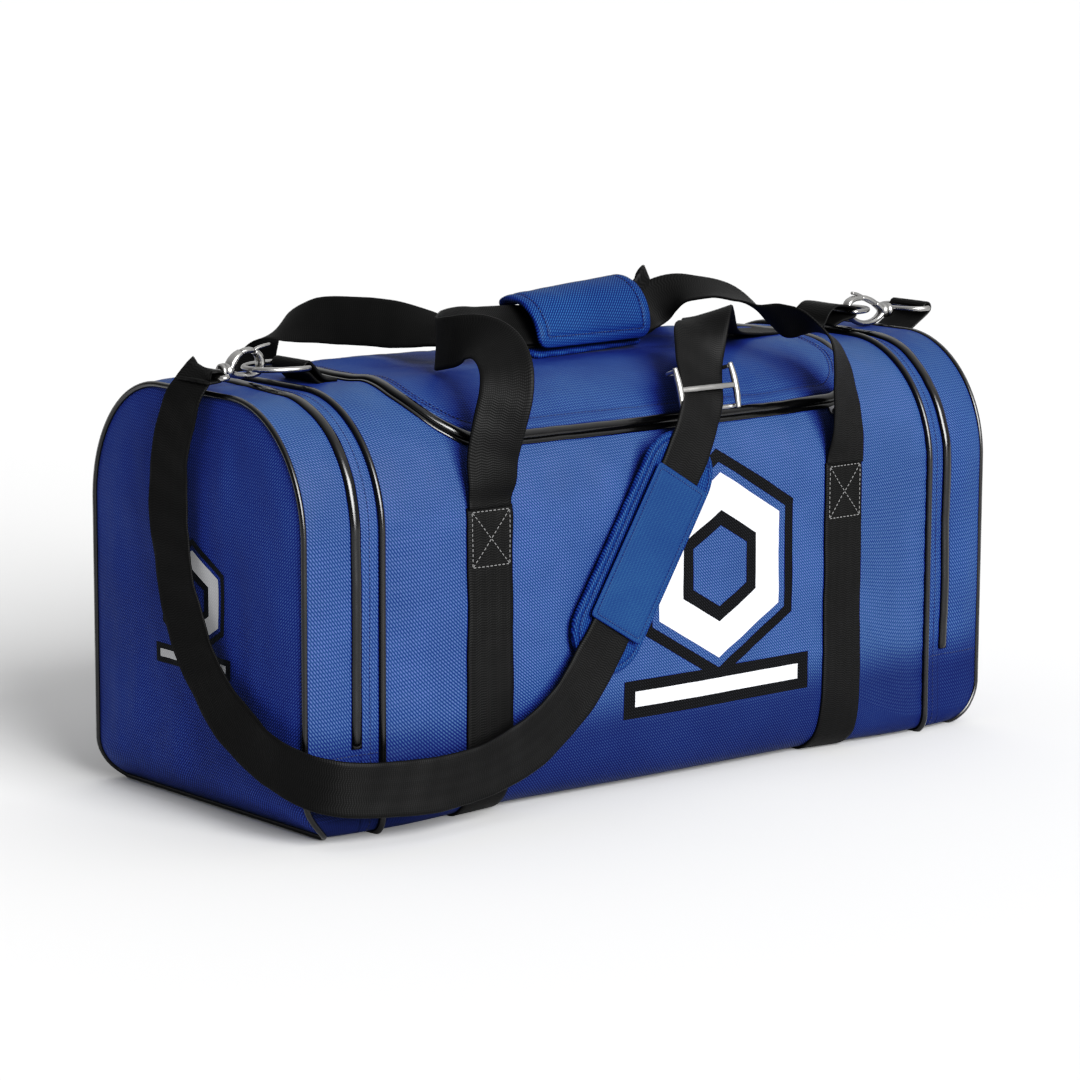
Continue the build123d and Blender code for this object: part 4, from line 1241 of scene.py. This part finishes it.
def print_ring(onto, centre, outer, inner, each=26, layers=7, corners=6, turn=math.pi / 6):
    loops = [corner_ring(r, corners, each, turn) + centre for r in spread(inner, outer, layers)]
    flat = np.array(loops)
    p = onto(flat[..., 0], flat[..., 1])
    faces = quads(layers, flat.shape[1], wrap_cols=True)
    return p.reshape(-1, 3), faces.tolist(), flat.reshape(-1, 2)


def print_block(onto, centre, size, slant=0.0, counts=(50, 8)):
    u = spread(-0.5, 0.5, counts[0]) * size[0]
    v = spread(-0.5, 0.5, counts[1]) * size[1]
    uu, vv = np.meshgrid(u, v, indexing="ij")
    uu = uu + vv * slant + centre[0]
    vv = vv + centre[1]
    p = onto(uu, vv)
    return p.reshape(-1, 3), quads(*uu.shape).tolist(), np.stack([uu, vv], -1).reshape(-1, 2)


def flip_to(obj, way):
    """Turn a thin print so that its faces look the way given."""
    with mesh_edit(obj) as bm:
        total = sum((f.normal * f.calc_area() for f in bm.faces), Vector())
        if total.dot(Vector(way)) < 0:
            bmesh.ops.reverse_faces(bm, faces=bm.faces)


for word, onto, centre, k, way in (("front", front_print, (38.0, 152.0), 1.0, (0, -1, 0)),
                                   ("end", end_print, (-4.0, 150.0), 0.5, (-1, 0, 0))):
    cx, cz = centre
    dark = [print_ring(onto, (cx, cz), 82 * k, 73 * k), print_ring(onto, (cx, cz), 40 * k, 29 * k),
            print_block(lambda u, v: onto(u, v, 0.2), (cx, cz - 86 * k), (176 * k, 27 * k))]
    light = [print_ring(onto, (cx, cz), 66 * k, 40 * k),
             print_block(lambda u, v: onto(u, v, 0.32), (cx, cz - 86 * k), (156 * k, 11 * k))]
    for tone, parts, paint in (("dark", dark, print_dark), ("light", light, print_white)):
        made = join(f"{word}_print_{tone}", parts, paint)
        flip_to(made, way)
        place(made, "bag", "shell_fabric")

# ---------------------------------------------------------------- metal fittings


def bend_line(points, closed=False, pitch=0.8):
    """A smooth dense line through a few points."""
    points = np.array(points, float)
    if closed:
        points = np.concatenate([points[-2:], points, points[:3]])
    keys = np.concatenate([[0], np.cumsum(np.linalg.norm(np.diff(points, axis=0), axis=1) ** 0.6)])
    low, high = (keys[2], keys[-3]) if closed else (keys[0], keys[-1])
    fine = spread(low, high, 900)
    line = curve_through(keys, points, fine)
    run = arc_length(line)
    count = max(8, int(run[-1] / pitch))
    at = np.interp(spread(0, run[-1], count + 1), run, fine)
    line = curve_through(keys, points, at)
    return line[:-1] if closed else line


def wire_part(points, radius, normal=(0, 0, 1), closed=False, flat=1.0, segments=14):
    line = bend_line(points, closed)
    n = np.broadcast_to(np.asarray(normal, float), line.shape)
    share = spread(0, 1, len(line))
    r = np.interp(share, spread(0, 1, len(np.atleast_1d(radius))),
                  np.atleast_1d(radius)) if np.ndim(radius) else np.full(len(line), radius)
    return tube_along(line, n, r, r * flat, segments, closed=closed)


def d_loop(bar_x, tip_x, y, z, half, r=2.0):
    """A D of wire: straight along Y at bar_x, round towards tip_x."""
    deep = tip_x - bar_x
    s = math.copysign(1, deep)
    pts = [(bar_x, y - half * 0.72, z), (bar_x, y, z), (bar_x, y + half * 0.72, z),
           (bar_x + s * 1.2, y + half * 0.93, z)]
    for q in (18, 42, 66, 90, 114, 138, 162):
        g = math.radians(q)
        pts.append((bar_x + deep * math.sin(g) ** 0.85, y + half * math.cos(g), z))
    pts.append((bar_x + s * 1.2, y - half * 0.93, z))
    return wire_part(pts, r, closed=True)


def lathe(profile, centre, segments=22):
    """A turned part along X: (x, radius) pairs."""
    a = spread(0, TAU, segments + 1)[:-1]
    ring = np.array([[(x + centre[0], centre[1] + r * math.cos(q),
                       centre[2] + r * math.sin(q)) for q in a] for x, r in profile])
    return ring.reshape(-1, 3), capped(len(profile), segments), np.zeros((len(profile) * segments, 2))


def barrel_part(x, y, z, way=1):
    profile = [(-1.4, 2.7), (-1.4, 4.6), (-0.6, 5.3), (2.0, 5.5), (2.4, 4.6), (3.2, 4.6), (3.6, 5.4),
               (6.4, 5.0), (8.4, 3.8), (9.0, 2.9)]
    if way < 0:
        profile = [(-a, r) for a, r in reversed(profile)]
    return lathe(profile, (x, y, z))


def claw(points, radius, x, y, z, flat=1.5):
    return wire_part([(x + a, y, z + b) for a, b in points], radius, (0, 1, 0), flat=flat)


y, z = HARD_Y, HARD_Z
LEFT_NECK, RIGHT_NECK = -299.0, 322.0
left_eye = [d_loop(LEFT_BAR, LEFT_NECK - 4, y, z - 1.5, 22),
            lathe([(-5.5, 1.6), (-5, 2.4), (2.6, 2.2), (3.0, 3.2), (4.6, 3.2), (5.0, 2.6)],
                  (LEFT_NECK, y, z - 0.5))]
left_hook = [barrel_part(LEFT_NECK, y, z),
             claw([(7.0, -1.4), (11, -3.2), (18, -4.0), (25, -4.0), (30.4, -1.6), (32.0, 4.0), (30.0, 9.4),
                   (26.6, 11.8)],
                  [2.6, 2.3, 2.2, 2.3, 2.6, 3.0, 2.8, 2.2], LEFT_NECK, y, z),
             claw([(6.0, 0.6), (8.0, 5.2), (11.6, 9.2), (15.6, 11.6)], [3.0, 3.1, 2.9, 2.5], LEFT_NECK, y,
                  z)]
left_gate = [claw([(16.0, 11.9), (20, 12.8), (23.4, 12.9), (26.2, 12.2)], [1.9, 2.1, 2.1, 1.8], LEFT_NECK, y,
                  z, 1.3),
             claw([(25.6, 12.8), (29, 14.2), (35, 15.4), (38.5, 15.8)], [1.4, 1.3, 1.3, 1.2], LEFT_NECK,
                  y - 2, z, 1.1)]
right_eye = [d_loop(RIGHT_BAR, RIGHT_BAR + 26, y, z + 2.0, 19, 1.9)]
right_hook = [barrel_part(RIGHT_NECK, y, z - 1.5, -1),
              claw([(-7.0, -3.6), (-12, -7.4), (-20, -10.0), (-30, -9.4), (-39, -5.0), (-43.6, 1.0),
                    (-42.4, 6.4), (-37.0, 9.2), (-29.6, 9.4)],
                   [2.6, 2.3, 2.2, 2.2, 2.3, 2.6, 2.6, 2.4, 2.0], RIGHT_NECK, y, z),
              claw([(-7.0, -0.6), (-11.0, 2.4), (-14.6, 4.4)], [2.9, 2.8, 2.4], RIGHT_NECK, y, z)]
right_gate = [claw([(-15.0, 4.8), (-20, 7.2), (-25, 9.0), (-29.2, 9.6)], [2.3, 2.5, 2.3, 1.9], RIGHT_NECK, y,
                   z, 1.6),
              claw([(-28.2, 10.4), (-33, 12.6), (-38.5, 13.8)], [1.4, 1.3, 1.1], RIGHT_NECK, y, z, 1.2)]
for word, eye, hook, gate, ring, tab in (("left", left_eye, left_hook, left_gate, -277.0, -240.0),
                                         ("right", right_eye, right_hook, right_gate, 324.0, 346.0)):
    place(face_outwards(join(f"{word}_eye_loop", eye, nickel)), "bag", "hardware", f"{word}_swivel_eye")
    place(face_outwards(join(f"{word}_hook_body", hook, nickel)), "bag", "hardware", f"{word}_snap_hook")
    place(face_outwards(join(f"{word}_gate_lever", gate, nickel)), f"{word}_gate", "hardware",
          f"{word}_hook_gate")
    place(face_outwards(join(f"{word}_ring_loop", [d_loop(tab, ring, y, z, 22)], nickel)), "bag", "hardware",
          f"{word}_strap_ring")

# The slide adjuster: the webbing passes behind its middle bar.
SLIDE_UP = np.array([0.0, 0.3, 0.9539])
SLIDE_OUT = np.array([0.0, -0.9539, 0.3])
SLIDE_AT = np.array([23.0, -139.0, 279.5])


def on_slide(a, up, out):
    return tuple(SLIDE_AT + np.array([a, 0, 0]) + SLIDE_UP * up + SLIDE_OUT * out)


slide = []
for s in (-1, 1):
    side_bar = [(25.6, -16.0, 0.6), (25.8, -8, 1.5), (25.8, 0, 1.9), (25.8, 8, 1.5), (25.6, 16.0, 0.6)]
    side_bar = [on_slide(s * a, up, out) for a, up, out in side_bar]
    slide.append(wire_part(side_bar, [2.0, 2.5, 2.6, 2.5, 2.0], tuple(SLIDE_OUT), flat=0.85))
    back = -11.0 if s > 0 else -3.0
    cross_bar = [on_slide(a, s * 14.0, out) for a,
                 out in ((-25, 0), (-23, back), (0, back), (23, back), (25, 0))]
    slide.append(wire_part(cross_bar, 1.5, tuple(SLIDE_OUT)))
middle_bar = [on_slide(a, 0, out) for a, out in ((-25, 1.6), (0, 2.3), (25, 1.6))]
slide.append(wire_part(middle_bar, 2.0, tuple(SLIDE_OUT)))
place(face_outwards(join("slide_adjuster", slide, satin)), "glide", "glide", "tri_glide")

# ---------------------------------------------------------------- inside the bag


def partition(name, side):
    r = 1 - (1 - spread(0, 1, 22)) ** 1.2
    edge, _ = skin(np.full(ROWS.shape, side * SEAM_X), ROWS, -3.4, puffed=False)
    y = edge[None, :, 1] * r[:, None]
    z = END_CENTRE + (edge[None, :, 2] - END_CENTRE) * r[:, None]
    x = np.full(y.shape, side * (SEAM_X - 1.0))
    p = np.stack([x, y, z], -1)
    p[..., 0] += 1.6 * ripple(p, 90, 31) * (1 - r[:, None] ** 3)
    made = build(name, p.reshape(-1, 3), fan(*y.shape), np.stack([y, z], -1).reshape(-1, 2), lining_cloth)
    drop_loose(made)
    return solid(made, 1.0)


for side, word in ((-1, "left"), (1, "right")):
    place(partition(f"{word}_divider", side), "bag", "lining", f"{word}_partition")
board_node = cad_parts["base_board"]
board_node.data.materials.clear()
board_node.data.materials.append(board_grain)
for node_name in [f"{word}_zip_{part}" for part in ("slider", "pull") for word in ("lid", "left", "right")]:
    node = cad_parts[node_name]
    node.data.materials.clear()
    node.data.materials.append(gunmetal)

# ---------------------------------------------------------------- floor and light

floor = build("floor", [(-60000, -60000, 0), (60000, -60000, 0), (60000, 60000, 0), (-60000, 60000, 0)],
              [(0, 1, 2, 3)], [(0, 0), (1, 0), (1, 1), (0, 1)])
floor_paint = Nodes("floor_white")
floor.data.materials.append(floor_paint.finish((0.64, 0.64, 0.64), 0.8, Specular_IOR_Level=0.1))

scene.view_settings.view_transform = "Standard"
# A tone curve over the whole picture: deeper dark tones under the same white.
scene.view_settings.use_curve_mapping = True
tone = scene.view_settings.curve_mapping.curves[3]
for at, to in ((0.0255, 0.0105), (0.0375, 0.0185), (0.083, 0.072), (0.12, 0.132), (0.2, 0.205), (0.39, 0.36),
               (0.65, 0.63)):
    tone.points.new(at, to)
scene.view_settings.curve_mapping.update()
world = bpy.data.worlds.new("studio")
scene.world = world
world.use_nodes = True
sky = world.node_tree
direction = sky.nodes.new("ShaderNodeTexCoord")
parts = sky.nodes.new("ShaderNodeSeparateXYZ")
sky.links.new(direction.outputs["Generated"], parts.inputs[0])


def sky_ramp(axis, low, high, to_low, to_high):
    """A smooth change of the sky's strength along one axis."""
    node = sky.nodes.new("ShaderNodeMapRange")
    node.interpolation_type = "SMOOTHSTEP"
    for name, number in (("From Min", low), ("From Max", high), ("To Min", to_low), ("To Max", to_high)):
        node.inputs[name].default_value = number
    sky.links.new(parts.outputs[axis], node.inputs["Value"])
    return node.outputs["Result"]


both = sky.nodes.new("ShaderNodeMath")
both.operation = "MULTIPLY"
sky.links.new(sky_ramp("Z", 0.0, 0.9, 0.42, 1.0), both.inputs[0])
sky.links.new(sky_ramp("X", -0.9, 0.3, 0.4, 1.1), both.inputs[1])
sky.links.new(both.outputs[0], sky.nodes["Background"].inputs["Strength"])
sky.nodes["Background"].inputs["Color"].default_value = (1, 1, 1, 1)

sun_data = bpy.data.lights.new("key", "SUN")
sun_data.energy = 6.6
sun_data.angle = math.radians(38)
sun = bpy.data.objects.new("key", sun_data)
scene.collection.objects.link(sun)
sun.rotation_euler = Vector((0.06, 0.84, -0.37)).to_track_quat("-Z", "Y").to_euler()
